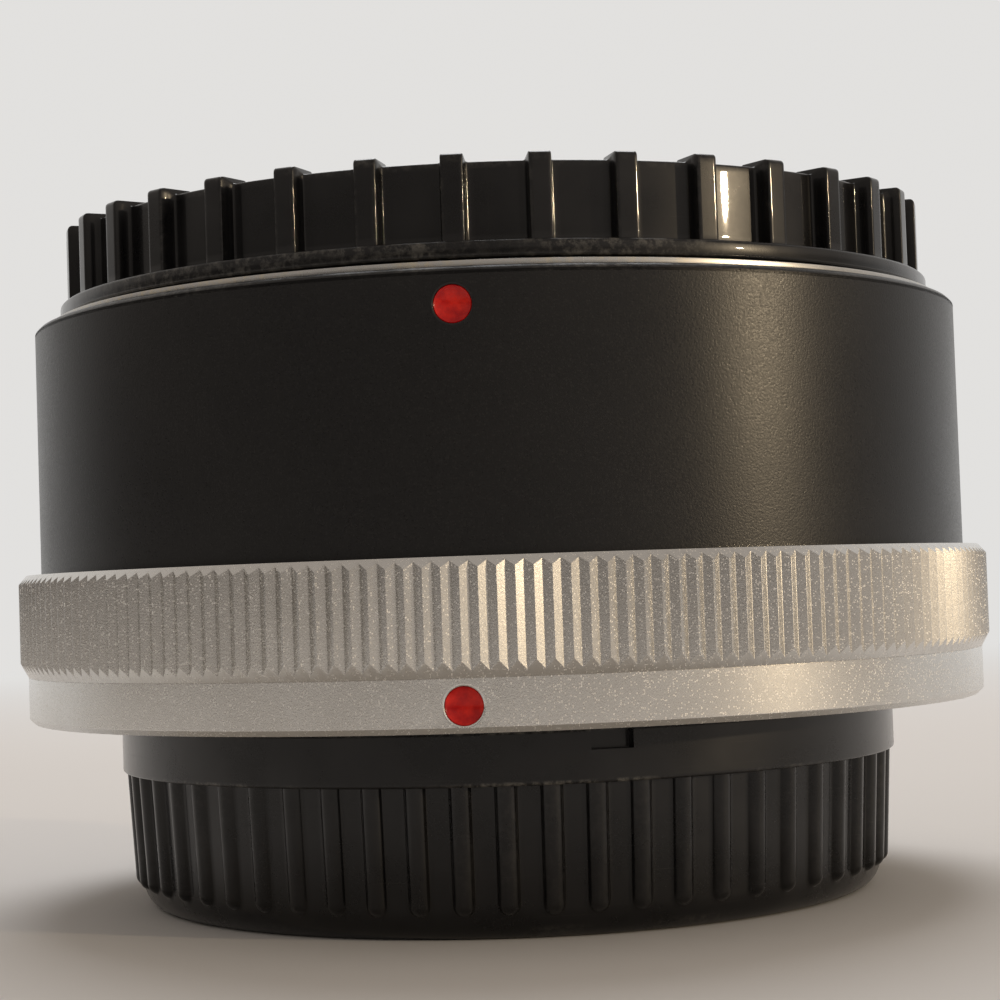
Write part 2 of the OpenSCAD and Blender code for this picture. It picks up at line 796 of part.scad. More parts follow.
// Four screws that fix the seat plate to the frame
module rear_mount_screws() {
    color("#8f8f8d")
    translate([0, 0, seat_z])
        around(mount_screws_n, mount_screw_r, screw_a)
            screw(screw_head_r, screw_shank_r, mount_screw_len);
}

// Pin on the seat, under the index, that keys the camera
module locating_pin() {
    color("#d0d0cc")
    at(0)
        translate([locating_pin_r, 0, locating_pin_z])
            cylinder(h = seat_z + locating_pin_sink - locating_pin_z, r = locating_pin_d / 2);
}

// Black plate with a rectangular window behind the rear glass
module rear_mask() {
    color("#141414")
    difference() {
        translate([0, 0, mask_z])
            cylinder(h = mask_t, r = mask_r);
        translate([-mask_window_w / 2, -mask_window_h / 2, mask_z - CUT])
            cube([mask_window_w, mask_window_h, mask_t + 2 * CUT]);
        translate([0, 0, mask_z])
            around(mask_screws_n, mask_screw_r, 0)
                screw_hole(fine_head_r, fine_shank_r, mask_screw_len);
    }
}

// Two small screws that hold the mask on the seat plate
module mask_screws() {
    color("#2a2a2a")
    translate([0, 0, mask_z])
        around(mask_screws_n, mask_screw_r, 0)
            screw(fine_head_r, fine_shank_r, mask_screw_len);
}

// Bulkhead that closes the barrel and carries the ring, the optics and the rear mount
module rear_frame() {
    color("#4a4b4d")
    difference() {
        union() {
            ring_block(spigot_in_r, journal_r, seat_top_z, frame_z + SINK);
            ring_block(frame_bore_r, frame_flange_r, frame_z, barrel_z);
            ring_block(frame_bore_r, bore_r - seat_gap, barrel_z - SINK, frame_top_z);
        }
        lever_slots(seat_top_z - CUT, frame_top_z + CUT, rear_arm_lag);
        plunger_hole(frame_z - CUT, frame_top_z + CUT);
        translate([0, 0, seat_z])
            around(mount_screws_n, mount_screw_r, screw_a)
                screw_hole(screw_head_r, screw_shank_r, mount_screw_len);
        translate([0, 0, frame_z])
            around(frame_screws_n, frame_screw_r, screw_a)
                screw_hole(fine_head_r, fine_shank_r, frame_screw_len);
        at(stop_a)
            translate([stop_screw_in_r - seat_gap, 0, stop_screw_z])
                rotate([0, 90, 0])
                    cylinder(h = journal_r, r = stop_screw_r + seat_gap);
        for (a = [diaphragm_window_a, signal_window_a])
            at(a + post_a)
                translate([lever_mid_r, 0, frame_top_z - post_sink])
                    cylinder(h = post_sink + CUT, r = post_r + press_gap);
    }
}

// Four screws from the rear that hold the frame in the barrel
module frame_screws() {
    color("#2e2e2e")
    translate([0, 0, frame_z])
        around(frame_screws_n, frame_screw_r, screw_a)
            screw(fine_head_r, fine_shank_r, frame_screw_len);
}

// Set screw in the frame's journal that runs in the breech ring's slot
module ring_stop_screw() {
    color("#8f8f8d")
    at(stop_a)
        difference() {
            translate([stop_screw_in_r, 0, stop_screw_z])
                rotate([0, 90, 0])
                    cylinder(h = stop_screw_out_r - stop_screw_in_r, r = stop_screw_r);
            translate([stop_screw_out_r - driver_d, -stop_screw_r, stop_screw_z - driver_w / 2])
                cube([driver_d + CUT, 2 * stop_screw_r, driver_w]);
        }
}

// Tube that holds the glass, with a flange that sits on the frame
module lens_cell() {
    color("#202122")
    difference() {
        union() {
            ring_block(stop_r, cell_front_r, frame_top_z, cell_top_z);
            ring_block(stop_r, cell_flange_r, frame_top_z, frame_top_z + cell_flange_t);
            ring_block(stop_r, cell_r, lock_ring_z, frame_top_z + SINK);
            ring_block(stop_r, cell_rear_r, cell_z, lock_ring_z + SINK);
        }
        translate([0, 0, second_z])
            cylinder(h = cell_top_z, r = front_bore_r);
        translate([0, 0, cell_z - CUT])
            cylinder(h = stop_z - cell_z + CUT, r = rear_bore_r);
    }
}

// Threaded ring that locks the cell against the frame from behind
module cell_lock_ring() {
    color("#3a3a3c")
    difference() {
        ring_block(frame_bore_r, lock_ring_r, lock_ring_z, frame_z);
        around(2, cell_r, 90)
            translate([0, -spanner_slot / 2, lock_ring_z - CUT])
                cube([spanner_slot, spanner_slot, CUT + spanner_slot_d]);
    }
}

// The four glass elements, front to rear
module front_element() {
    color("#8fb0c8", 0.5)
        glass(front_glass_r, front_z, front_rim_z, front_curve, -front_hollow_curve);
}
module second_element() {
    color("#9ab8c4", 0.5)
        glass(front_glass_r, second_z, second_rim_z, second_curve, 0);
}
module third_element() {
    color("#9ab8c4", 0.5)
        glass(rear_glass_r, third_z, stop_z, -third_curve, -third_hollow_curve);
}
module rear_element() {
    color("#8fb0c8", 0.5)
        glass(rear_glass_r, rear_z, rear_rim_z, rear_curve, -rear_hollow_curve);
}

// Spacers between the elements
module front_spacer() {
    color("#18181a")
        ring_block(front_glass_r - retainer_lap, front_glass_r, front_spacer_z, front_z);
}
module rear_spacer() {
    color("#18181a")
        ring_block(rear_glass_r - retainer_lap, rear_glass_r, rear_spacer_z, third_z);
}

// Threaded ring with two spanner slots
module retainer(r, z0, z1, slot_z) {
    difference() {
        ring_block(r - retainer_lap, r, z0, z1);
        translate([-r - CUT, -spanner_slot / 2, slot_z])
            cube([2 * (r + CUT), spanner_slot, 2 * spanner_slot_d]);
    }
}
module front_retainer() {
    color("#232325")
        retainer(front_glass_r, front_retainer_z, front_retainer_top_z,
            front_retainer_top_z - spanner_slot_d);
}
module rear_retainer() {
    color("#232325")
        retainer(rear_glass_r, rear_retainer_z, rear_z, rear_retainer_z - spanner_slot_d);
}

// Lever ring: runs in the barrel's bore and holds its spring in a window
module lever_ring(z, window_a, rivet_a) {
    difference() {
        ring_block(lever_in_r, lever_out_r, z, z + lever_t);
        arc_block(window_in_r, window_out_r, z - CUT, z + lever_t + CUT, window_a, window_a + window_span);
        for (lag = [0, rear_arm_lag])
            at(rivet_a + lag)
                translate([rivet_r, 0, z - CUT])
                    cylinder(h = lever_t + 2 * CUT, r = rivet_shank_r + press_gap);
    }
}

// Lever arm: a foot on the ring and a blade along the axis, from one height to another
module lever_arm(ring_top, z0, z1, a) {
    half = arm_span / 2;
    difference() {
        union() {
            arc_block(arm_in_r, foot_r, ring_top, ring_top + foot_t, a - half, a + half);
            arc_block(arm_in_r, arm_out_r, min(z0, ring_top), max(z1, ring_top + foot_t),
                a - half, a + half);
        }
        at(a)
            translate([rivet_r, 0, ring_top - CUT])
                cylinder(h = foot_t + 2 * CUT, r = rivet_shank_r + press_gap);
    }
}

// Two rivets that join a ring's arms to it
module lever_rivets(z, a) {
    for (lag = [0, rear_arm_lag])
        at(a + lag)
            translate([rivet_r, 0, z]) {
                cylinder(h = lever_t + foot_t, r = rivet_shank_r);
                translate([0, 0, lever_t + foot_t])
                    cylinder(h = rivet_head_t, r = rivet_head_r);
            }
}

// Diaphragm lever, which closes the lens's iris
module diaphragm_ring() {
    color("#6f7072")
    difference() {
        lever_ring(diaphragm_z, diaphragm_window_a, diaphragm_a);
        arc_block(window_in_r, window_out_r, diaphragm_z - CUT, diaphragm_top_z + CUT,
            signal_window_a + post_a - diaphragm_turn - post_margin,
            signal_window_a + post_a + post_margin);
    }
}
module diaphragm_front_arm() {
    color("#b7b8b4")
        lever_arm(diaphragm_top_z, diaphragm_top_z, front_tip_z, diaphragm_a);
}
module diaphragm_rear_arm() {
    color("#b7b8b4")
        lever_arm(diaphragm_top_z, rear_tip_z, diaphragm_top_z, diaphragm_a + rear_arm_lag);
}
module diaphragm_rivets() {
    color("#a08a55")
        lever_rivets(diaphragm_z, diaphragm_a);
}
module diaphragm_spring() {
    color("#a9abad")
        lever_spring(diaphragm_z + lever_t / 2, diaphragm_window_a);
}

// Aperture signal lever, which passes on the lens's aperture setting
module signal_ring() {
    color("#6f7072")
        lever_ring(signal_z, signal_window_a, signal_a);
}
module signal_front_arm() {
    color("#b7b8b4")
        lever_arm(signal_top_z, signal_top_z, front_tip_z, signal_a);
}
module signal_rear_arm() {
    color("#b7b8b4")
        lever_arm(signal_top_z, rear_tip_z, signal_top_z, signal_a + rear_arm_lag);
}
module signal_rivets() {
    color("#a08a55")
        lever_rivets(signal_z, signal_a);
}
module signal_spring() {
    color("#a9abad")
        lever_spring(signal_z + lever_t / 2, signal_window_a);
}

// Split rings that snap into the barrel's grooves and keep the lever rings in place
module circlip(z, a) {
    clip_r = groove_r - seat_gap;
    arc_block(clip_r - circlip_w, clip_r, z, z + circlip_t, a + split_span / 2, a + 360 - split_span / 2);
}
module lower_circlip() {
    color("#77787a")
        circlip(lower_circlip_z, lower_split_a);
}
module upper_circlip() {
    color("#77787a")
        circlip(upper_circlip_z, upper_split_a);
}

// Posts on the frame that take the fixed ends of the lever springs
module spring_posts() {
    color("#a08a55")
    for (post = [[diaphragm_window_a, diaphragm_top_z], [signal_window_a, signal_top_z]])
        at(post[0] + post_a)
            translate([lever_mid_r, 0, frame_top_z - post_sink])
                cylinder(h = post[1] - frame_top_z + post_sink, r = post_r);
}

// Plunger that passes on the lens's full-aperture pin
module aperture_pin() {
    color("#d0d0cc")
    at(plunger_a)
        translate([arm_mid_r, 0, 0]) {
            translate([0, 0, plunger_tip_z])
                cylinder(h = plunger_front_z - plunger_tip_z, r = plunger_r);
            translate([0, 0, collar_z])
                cylinder(h = collar_t, r = collar_r);
        }
}

// Spring that sends the plunger back to the front
module aperture_pin_spring() {
    rise = plunger_spring_high_z - plunger_spring_low_z;
    steps = plunger_coils * COIL_RINGS;
    function lean(i) =
        let (turn = 360 * i / COIL_RINGS)
        [cos(turn), sin(turn), 0];
    path = [for (i = [0 : steps])
        plunger_coil_r * lean(i) + [0, 0, plunger_spring_low_z + rise * i / steps]];
    normals = [for (i = [0 : steps]) lean(i)];
    color("#a9abad")
    at(plunger_a)
        translate([arm_mid_r, 0, 0])
            wire_coil(path, normals);
}

// Black tube with the inner ledge and the circlip grooves
module barrel() {
    color("#1d1d1f")
    difference() {
        rotate_extrude()
            polygon([[bore_r, barrel_z], [barrel_r, barrel_z], [barrel_r, barrel_top_z - barrel_edge],
                [barrel_r - barrel_edge, barrel_top_z], [bore_r, barrel_top_z], [bore_r, plate_base_z],
                [ledge_r, plate_base_z], [ledge_r, ledge_z], [bore_r, ledge_z]]);
        for (z = [lower_circlip_z, upper_circlip_z])
            ring_block(bore_r - CUT, groove_r, z - SINK, z + circlip_t + SINK);
        translate([0, 0, frame_z])
            around(frame_screws_n, frame_screw_r, screw_a)
                screw_hole(fine_head_r, fine_shank_r, frame_screw_len);
        translate([0, 0, plate_z])
            mirror([0, 0, 1])
                around(plate_screws_n, plate_screw_r, screw_a)
                    screw_hole(screw_head_r, screw_shank_r, plate_screw_len);
        translate([0, 0, baffle_z])
            around(baffle_screws_n, baffle_screw_r, baffle_screw_a)
                screw_hole(fine_head_r, fine_shank_r, baffle_screw_len);
        dot_plug(barrel_dot_z, barrel_r - dot_sink, barrel_r + CUT, dot_r);
    }
}

// Red enamel in the dimple of the barrel
module barrel_index_dot() {
    color("#b8231c")
        dot_plug(barrel_dot_z, barrel_r - dot_sink + press_gap,
            barrel_r - dot_sink + dot_paint, dot_r - press_gap);
}

// Black plate in the throat, slotted for the levers and the plunger
module front_baffle() {
    color("#161617")
    difference() {
        ring_block(baffle_in_r, bore_r - baffle_gap, baffle_z, ledge_z);
        lever_slots(baffle_z - CUT, ledge_z + CUT, 0);
        plunger_hole(baffle_z - CUT, ledge_z + CUT);
        translate([0, 0, baffle_z])
            around(baffle_screws_n, baffle_screw_r, baffle_screw_a)
                screw_hole(fine_head_r, fine_shank_r, baffle_screw_len);
    }
}

// Three screws that hold the baffle under the ledge
module baffle_screws() {
    color("#2a2a2a")
    translate([0, 0, baffle_z])
        around(baffle_screws_n, baffle_screw_r, baffle_screw_a)
            screw(fine_head_r, fine_shank_r, baffle_screw_len);
}

// Bright lens-side mount: plate, neck and three claws round the throat
module front_flange() {
    color("#c4c5c3")
    difference() {
        rotate_extrude()
            polygon([[throat_r, plate_base_z], [bore_r - seat_gap, plate_base_z],
                [bore_r - seat_gap, barrel_top_z], [plate_r, barrel_top_z], [plate_r, plate_z],
                [neck_r, plate_z], [neck_r, neck_top_z - claw_t], [claw_r, neck_top_z - claw_t],
                [claw_r, neck_top_z], [throat_r, neck_top_z]]);
        claw_gaps(neck_r - SINK, claw_r + CUT, neck_top_z - claw_t - SINK, neck_top_z + CUT, lug_a);
        translate([0, 0, plate_z])
            mirror([0, 0, 1])
                around(plate_screws_n, plate_screw_r, screw_a)
                    screw_hole(screw_head_r, screw_shank_r, plate_screw_len);
    }
}

// Four countersunk screws that hold the mount on the barrel's ledge
module front_flange_screws() {
    color("#a6a6a3")
    translate([0, 0, plate_z])
        mirror([0, 0, 1])
            around(plate_screws_n, plate_screw_r, screw_a)
                screw(screw_head_r, screw_shank_r, plate_screw_len);
}

// Moulded cap on the lens side: ribbed skirt with a lip, and three tabs inside
module front_cap() {
    color("#1a1a1c") {
        rotate_extrude()
            polygon([[0, front_ceiling_z], [claw_clear_r, front_ceiling_z], [claw_clear_r, front_lip_z],
                [lip_r - cap_edge, front_lip_z], [lip_r, front_lip_z + cap_edge],
                [lip_r, front_lip_top_z - cap_edge],
                [lip_r - cap_edge, front_lip_top_z], [front_skirt_r, front_lip_top_z],
                [front_skirt_r, front_top_z - cap_edge], [front_skirt_r - cap_edge, front_top_z],
                [throat_r, front_top_z], [throat_r - front_hollow, front_top_z - front_hollow],
                [0, front_top_z - front_hollow]]);
        claws(neck_clear_r, claw_clear_r + SINK, front_lip_z, front_lip_z + tab_t, 0);
        intersection() {
            for (i = [0 : rib_count - 1])
                at(i * 360 / rib_count)
                    translate([0, 0, front_lip_top_z - SINK])
                        linear_extrude(rib_top_z - front_lip_top_z + SINK)
                            polygon([[rib_in_r, -rib_root_w / 2], [front_skirt_r, -rib_root_w / 2],
                                [rib_r + CUT, -rib_w / 2], [rib_r + CUT, rib_w / 2],
                                [front_skirt_r, rib_root_w / 2], [rib_in_r, rib_root_w / 2]]);
            rotate_extrude()
                polygon([[rib_in_r, front_lip_top_z - SINK], [rib_r, front_lip_top_z - SINK],
                    [rib_r, rib_top_z - rib_edge], [rib_r - rib_edge_in, rib_top_z],
                    [rib_in_r + rib_rise, rib_top_z], [rib_in_r, front_top_z]]);
        }
    }
}

rear_cap();
breech_ring();
ring_index_dot();
claw_ring();
claw_ring_screws();
rear_mount();
rear_mount_screws();
locating_pin();
rear_mask();
mask_screws();
rear_frame();
frame_screws();
ring_stop_screw();
lens_cell();
cell_lock_ring();
front_element();
second_element();
third_element();
rear_element();
front_spacer();
rear_spacer();
front_retainer();
rear_retainer();
diaphragm_ring();
diaphragm_front_arm();
diaphragm_rear_arm();
diaphragm_rivets();
signal_ring();
signal_front_arm();
signal_rear_arm();
signal_rivets();
lower_circlip();
upper_circlip();
spring_posts();
diaphragm_spring();
signal_spring();
aperture_pin();
aperture_pin_spring();
barrel();
barrel_index_dot();
front_baffle();
baffle_screws();
front_flange();
front_flange_screws();
front_cap();
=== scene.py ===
import math

import bmesh
import bpy
from mathutils import Matrix, Vector


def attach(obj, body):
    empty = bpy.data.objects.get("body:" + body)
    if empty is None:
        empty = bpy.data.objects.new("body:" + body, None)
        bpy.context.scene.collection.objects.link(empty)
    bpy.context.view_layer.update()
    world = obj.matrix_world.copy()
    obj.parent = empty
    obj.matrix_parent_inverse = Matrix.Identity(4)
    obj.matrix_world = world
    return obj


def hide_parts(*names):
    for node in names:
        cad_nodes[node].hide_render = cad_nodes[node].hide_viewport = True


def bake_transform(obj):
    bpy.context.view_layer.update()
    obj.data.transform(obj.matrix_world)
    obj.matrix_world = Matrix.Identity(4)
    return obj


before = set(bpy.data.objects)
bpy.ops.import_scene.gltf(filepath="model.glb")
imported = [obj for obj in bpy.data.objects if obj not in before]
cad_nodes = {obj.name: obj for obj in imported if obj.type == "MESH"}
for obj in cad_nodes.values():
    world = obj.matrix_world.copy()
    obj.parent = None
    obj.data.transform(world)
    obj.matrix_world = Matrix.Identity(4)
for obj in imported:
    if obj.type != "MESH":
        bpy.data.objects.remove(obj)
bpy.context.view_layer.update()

# Rear cap: the cup that the converter stands on. Black injection-moulded plastic, with sixty rounded grip
# ribs, a plain band with one notch, and a neck with the three lugs that the silver ring grips.
MM = 0.001
GRIPS, FIRST_GRIP = 60, 3.65
GRIP_LOW_Z, GRIP_HALF, GRIP_RISE = 1.45, 0.65, 0.5
CUP_FOOT_R, CUP_TOP_R, CUP_TOP_Z = 24.85, 25.25, 8.95
BASE_ROUND_W, BASE_ROUND_H, FOOT_RIM_R, FOOT_HOLLOW = 1.4, 1.8, 21.2, 0.4
CUP_FLOOR_Z, CUP_EDGE = 1.6, 1.0
BAND_R, BAND_TOP_Z = 26.0, 12.1
NECK_R, THROAT_R = 25.0, 24.0
LUG_R, LUG_LOW_Z, LUG_TOP_Z, LUG_HALF_SPAN = 26.3, 14.3, 15.8, 24
NOTCH_ANGLE, NOTCH_HALF, NOTCH_LOW_Z, NOTCH_R = 17.5, 1.25, 10.9, 25.25
BAND_STEP, LUG_STEPS = 2, 24
WELD = 2e-6


def polar(angle, r, z):
    """Point at an angle in degrees from the index mark, which faces -Y, towards +X."""
    a = math.radians(angle - 90)
    return (r * math.cos(a) * MM, r * math.sin(a) * MM, z * MM)


def arc(r, z, radius, start, end, rub, steps=4):
    """Round stretch of an outline as (r, z, wear) points, about a centre, from one angle to another."""
    turns = [math.radians(start + (end - start) * k / steps) for k in range(steps + 1)]
    return [(r + radius * math.cos(t), z + radius * math.sin(t), rub) for t in turns]


def new_work():
    """An empty mesh to build in, whose points say how rubbed (1) or how dirty (-1) they are."""
    work = bmesh.new()
    return work, work.verts.layers.float.new("wear")


def point(work, wear, place, rub):
    """New point of a work mesh."""
    vert = work.verts.new(place)
    vert[wear] = rub
    return vert


def strip(work, left, right):
    """Faces between two rows of points of one length."""
    for i in range(len(left) - 1):
        work.faces.new((left[i], left[i + 1], right[i + 1], right[i]))


def as_mesh(name, work):
    """Plain mesh from a work mesh, with doubles merged."""
    bmesh.ops.remove_doubles(work, verts=work.verts, dist=1e-7)
    mesh = bpy.data.meshes.new(name)
    work.to_mesh(mesh)
    work.free()
    return mesh


def cup_wall_r(z):
    """Radius of the cup's wall between its ribs, which curves in towards the base."""
    if z >= BASE_ROUND_H:
        return CUP_FOOT_R + (CUP_TOP_R - CUP_FOOT_R) * (z - BASE_ROUND_H) / (CUP_TOP_Z - BASE_ROUND_H)
    return CUP_FOOT_R - BASE_ROUND_W * (1 - math.sqrt(1 - (1 - z / BASE_ROUND_H) ** 2))


def grip_slice():
    """One of the sixty slices of the cup, with a rounded rib down its middle that ends above the base."""
    work, wear = new_work()
    mid_r = (CUP_FOOT_R + CUP_TOP_R) / 2
    half = math.radians(180 / GRIPS) * mid_r
    low = GRIP_LOW_Z + GRIP_HALF
    patch_z = BASE_ROUND_H / 2
    side_z = (CUP_TOP_Z + 0.05, 5.5)
    corner = math.degrees(math.atan2(low - patch_z, half))
    turns = sorted([180 + 15 * k for k in range(13)] + [180 + corner, 360 - corner])

    def on_wall(u, rise, z, rub):
        return point(work, wear, polar(math.degrees(u / mid_r), cup_wall_r(z) + rise, z), rub)

    def around_rib(reach):
        path = [(-reach(180), z) for z in side_z]
        for t in turns:
            a = math.radians(t)
            path.append((reach(t) * math.cos(a), low + reach(t) * math.sin(a)))
        return path + [(reach(0), z) for z in reversed(side_z)]

    def to_border(t):
        c, s = abs(math.cos(math.radians(t))), abs(math.sin(math.radians(t)))
        return half if s < 1e-9 else min(half / max(c, 1e-9), (low - patch_z) / s)

    border = around_rib(to_border)
    rows = [[on_wall(u, 0, z, 0) for u, z in border]]
    crown_r = (GRIP_HALF ** 2 + GRIP_RISE ** 2) / (2 * GRIP_RISE)
    steps = [(GRIP_HALF + 0.3, 0, 0), (GRIP_HALF + 0.05, 0, 0), (GRIP_HALF + 0.01, 0.02, -0.4)]
    for lean in (68, 56, 44, 32, 20, 9):
        t = math.radians(lean)
        steps.append((crown_r * math.sin(t), crown_r * (math.cos(t) - 1) + GRIP_RISE, 0.1))
    for reach, rise, rub in steps:
        rows.append([on_wall(u, rise, z, rub) for u, z in around_rib(lambda t: reach)])
        strip(work, rows[-1], rows[-2])
    crest, half_row = rows[-1], len(rows[-1]) // 2
    strip(work, crest[::-1][:half_row], crest[:half_row])
    work.faces.new(crest[half_row - 1:half_row + 2])

    below = [(v, math.degrees(u / mid_r)) for v, (u, z) in zip(rows[0], border) if abs(z - patch_z) < 1e-6]
    inside = [(v, math.degrees(math.atan2(v.co.x, -v.co.y)))
              for v in [row[0] for row in rows] + [row[-1] for row in reversed(rows)]]
    foot = [(cup_wall_r(patch_z * share), patch_z * share, 0.3) for share in (0.7, 0.45, 0.25, 0.1, 0.02, 0)]
    foot += [(FOOT_RIM_R, 0, 0), (FOOT_RIM_R - FOOT_HOLLOW, FOOT_HOLLOW, 0), (0, FOOT_HOLLOW, 0)]
    bore = [(THROAT_R + 0.4, side_z[0], 0), (THROAT_R, CUP_TOP_Z, 0)]
    bore += arc(THROAT_R - CUP_EDGE, CUP_FLOOR_Z + CUP_EDGE, CUP_EDGE, 0, -90, 0) + [(0, CUP_FLOOR_Z, 0)]
    for start, outline in ((below, foot), (inside, bore)):
        last = [vert for vert, angle in start]
        for r, z, rub in outline:
            row = [point(work, wear, polar(angle, r, z), rub) for vert, angle in start]
            strip(work, last, row)
            last = row
    return as_mesh("grip_slice", work)


def wired(tree, kind, feeds=None, **settings):
    """Node with its settings, its inputs fed by name or number with a value or another node's output."""
    made = tree.nodes.new(kind)
    for key, value in settings.items():
        setattr(made, key, value)
    for key, value in (feeds or {}).items():
        if isinstance(value, bpy.types.NodeSocket):
            tree.links.new(value, made.inputs[key])
        else:
            made.inputs[key].default_value = value
    return made.outputs


def calc(tree, operation, a, b=0.0, c=0.0):
    """One sum of two or three values, each a number or another node's output."""
    return wired(tree, "ShaderNodeMath", {0: a, 1: b, 2: c}, operation=operation)[0]


def times(tree, a, b):
    """Product of two values."""
    return calc(tree, "MULTIPLY", a, b)


def geometry_tree(name, **inputs):
    """Empty geometry tree with inputs of the given kinds: the tree, its inputs and its one output."""
    tree = bpy.data.node_groups.new(name, "GeometryNodeTree")
    for key, kind in inputs.items():
        tree.interface.new_socket(key, in_out="INPUT", socket_type="NodeSocket" + kind)
    tree.interface.new_socket("made", in_out="OUTPUT", socket_type="NodeSocketGeometry")
    return tree, tree.nodes.new("NodeGroupInput").outputs, tree.nodes.new("NodeGroupOutput").inputs[0]


def ended(tree, geometry, given, out):
    """Ends a geometry tree by giving what it made the tree's material."""
    made = wired(tree, "GeometryNodeSetMaterial", {"Geometry": geometry, "Material": given["material"]})[0]
    tree.links.new(made, out)
    return tree


def slices_tree():
    """Sets copies of one slice round the axis and welds them into one skin."""
    tree, given, out = geometry_tree("slices_round_the_axis", slice="Geometry", count="Int",
                                     first="Float", weld="Float", material="Material")
    spots = wired(tree, "GeometryNodePoints", {"Count": given["count"]})[0]
    index = wired(tree, "GeometryNodeInputIndex")[0]
    pitch = calc(tree, "DIVIDE", 2 * math.pi, given["count"])
    angle = calc(tree, "MULTIPLY_ADD", index, pitch, given["first"])
    turns = wired(tree, "ShaderNodeCombineXYZ", {"Z": angle})[0]
    turn = wired(tree, "FunctionNodeEulerToRotation", {0: turns})[0]
    copies = wired(tree, "GeometryNodeInstanceOnPoints",
                   {"Points": spots, "Instance": given["slice"], "Rotation": turn})[0]
    real = wired(tree, "GeometryNodeRealizeInstances", {0: copies})[0]
    skin = wired(tree, "GeometryNodeMergeByDistance", {"Geometry": real, "Distance": given["weld"]})[0]
    return ended(tree, skin, given, out)


def placed(name, data):
    """New object in the scene."""
    made = bpy.data.objects.new(name, data)
    bpy.context.scene.collection.objects.link(made)
    return made


def grown(tree, mesh, **sizes):
    """Plain mesh from a geometry tree that is run on a mesh, with the tree's inputs set by name."""
    stock = placed("stock", mesh)
    modifier = stock.modifiers.new("tree", "NODES")
    modifier.node_group = tree
    for socket in tree.interface.items_tree:
        if socket.in_out == "INPUT" and socket.name in sizes:
            modifier[socket.identifier] = sizes[socket.name]
    made = bpy.data.meshes.new_from_object(stock.evaluated_get(bpy.context.evaluated_depsgraph_get()))
    stock.modifiers.remove(modifier)
    bpy.data.objects.remove(stock)
    return made


def rounded(corners, steps=3):
    """Closed outline of (r, z, fillet) corners as (r, z, wear) points: outer edges rubbed, inner dirty."""
    count = len(corners)
    area = sum(a[0] * b[1] - b[0] * a[1] for a, b in zip(corners, corners[1:] + corners[:1]))
    outline = []
    for i, (r, z, fillet) in enumerate(corners):
        if not fillet:
            outline.append((r, z, 0))
            continue
        here = Vector((r, z))
        back = Vector(corners[i - 1][:2]) - here
        ahead = Vector(corners[(i + 1) % count][:2]) - here
        reach = fillet / math.tan(back.angle(ahead) / 2)
        rub = 1 if ahead.cross(back) * area > 0 else -1
        start, end = here + back.normalized() * reach, here + ahead.normalized() * reach
        middle = here + (back.normalized() + ahead.normalized()).normalized() * math.hypot(fillet, reach)
        before = here + back.normalized() * min(reach + fillet, back.length * 0.45)
        after = here + ahead.normalized() * min(reach + fillet, ahead.length * 0.45)
        outline.append((*before, 0))
        for k in range(steps + 1):
            spoke = (start - middle).lerp(end - middle, k / steps).normalized() * fillet
            outline.append((*(middle + spoke), rub))
        outline.append((*after, 0))
    return outline


def turned(work, wear, angles, outline, whole=True, window=None):
    """Skin turned round the axis, whose closed outline(angle) has (r, z, wear) points of one number.
    A window of columns and rows is left open for a patch. A skin that isn't whole gets flat ends."""
    columns = [[point(work, wear, polar(angle, r, z), rub) for r, z, rub in outline(angle)]
               for angle in angles]
    rows = len(columns[0])
    for i in range(len(columns) if whole else len(columns) - 1):
        left, right = columns[i], columns[(i + 1) % len(columns)]
        for j in range(rows):
            if not (window and i in window[0] and j in window[1]):
                k = (j + 1) % rows
                work.faces.new((left[j], right[j], right[k], left[k]))
    if not whole:
        work.faces.new(columns[0])
        work.faces.new(columns[-1])
    return columns


def whole_turn(step, extra=()):
    """Angles for one turn in equal steps, with some extra ones."""
    return sorted({k * step for k in range(round(360 / step))} | {angle % 360 for angle in extra})


def lug(work, wear, centre, low, high):
    """Bayonet claw, lug or tab: a short bar swept round the axis, between two (r, z) corners."""
    angles = [centre + LUG_HALF_SPAN * (2 * k / LUG_STEPS - 1) for k in range(LUG_STEPS + 1)]
    (low_r, low_z), (high_r, high_z) = low, high
    outline = rounded([(low_r, low_z, 0.1), (high_r, low_z, 0.12),
                       (high_r, high_z, 0.12), (low_r, high_z, 0.1)])
    turned(work, wear, angles, lambda angle: outline, whole=False)


def joined(name, work, *others, crease=38):
    """One mesh from a work mesh and finished skins: faces outwards, smooth except at creases in degrees."""
    for other in others:
        work.from_mesh(other)
    bmesh.ops.remove_doubles(work, verts=work.verts, dist=WELD)
    bmesh.ops.dissolve_degenerate(work, dist=WELD, edges=work.edges)
    bmesh.ops.delete(work, geom=[v for v in work.verts if not v.link_faces], context="VERTS")
    bmesh.ops.recalc_face_normals(work, faces=work.faces)
    for face in work.faces:
        face.smooth = True
        face.material_index = 0
    mesh = bpy.data.meshes.new(name)
    work.to_mesh(mesh)
    work.free()
    mesh.set_sharp_from_angle(angle=math.radians(crease))
    return mesh


def finished(mesh, material):
    """New object in the scene, all in one material."""
    mesh.materials.clear()
    mesh.materials.append(material)
    return placed(mesh.name, mesh)


def fitted(mesh, material, body, slot, *stands_for):
    """Puts a mesh into the scene, on its body, in place of the solids it stands for."""
    made = finished(mesh, material)
    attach(made, body)
    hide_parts(*stands_for)


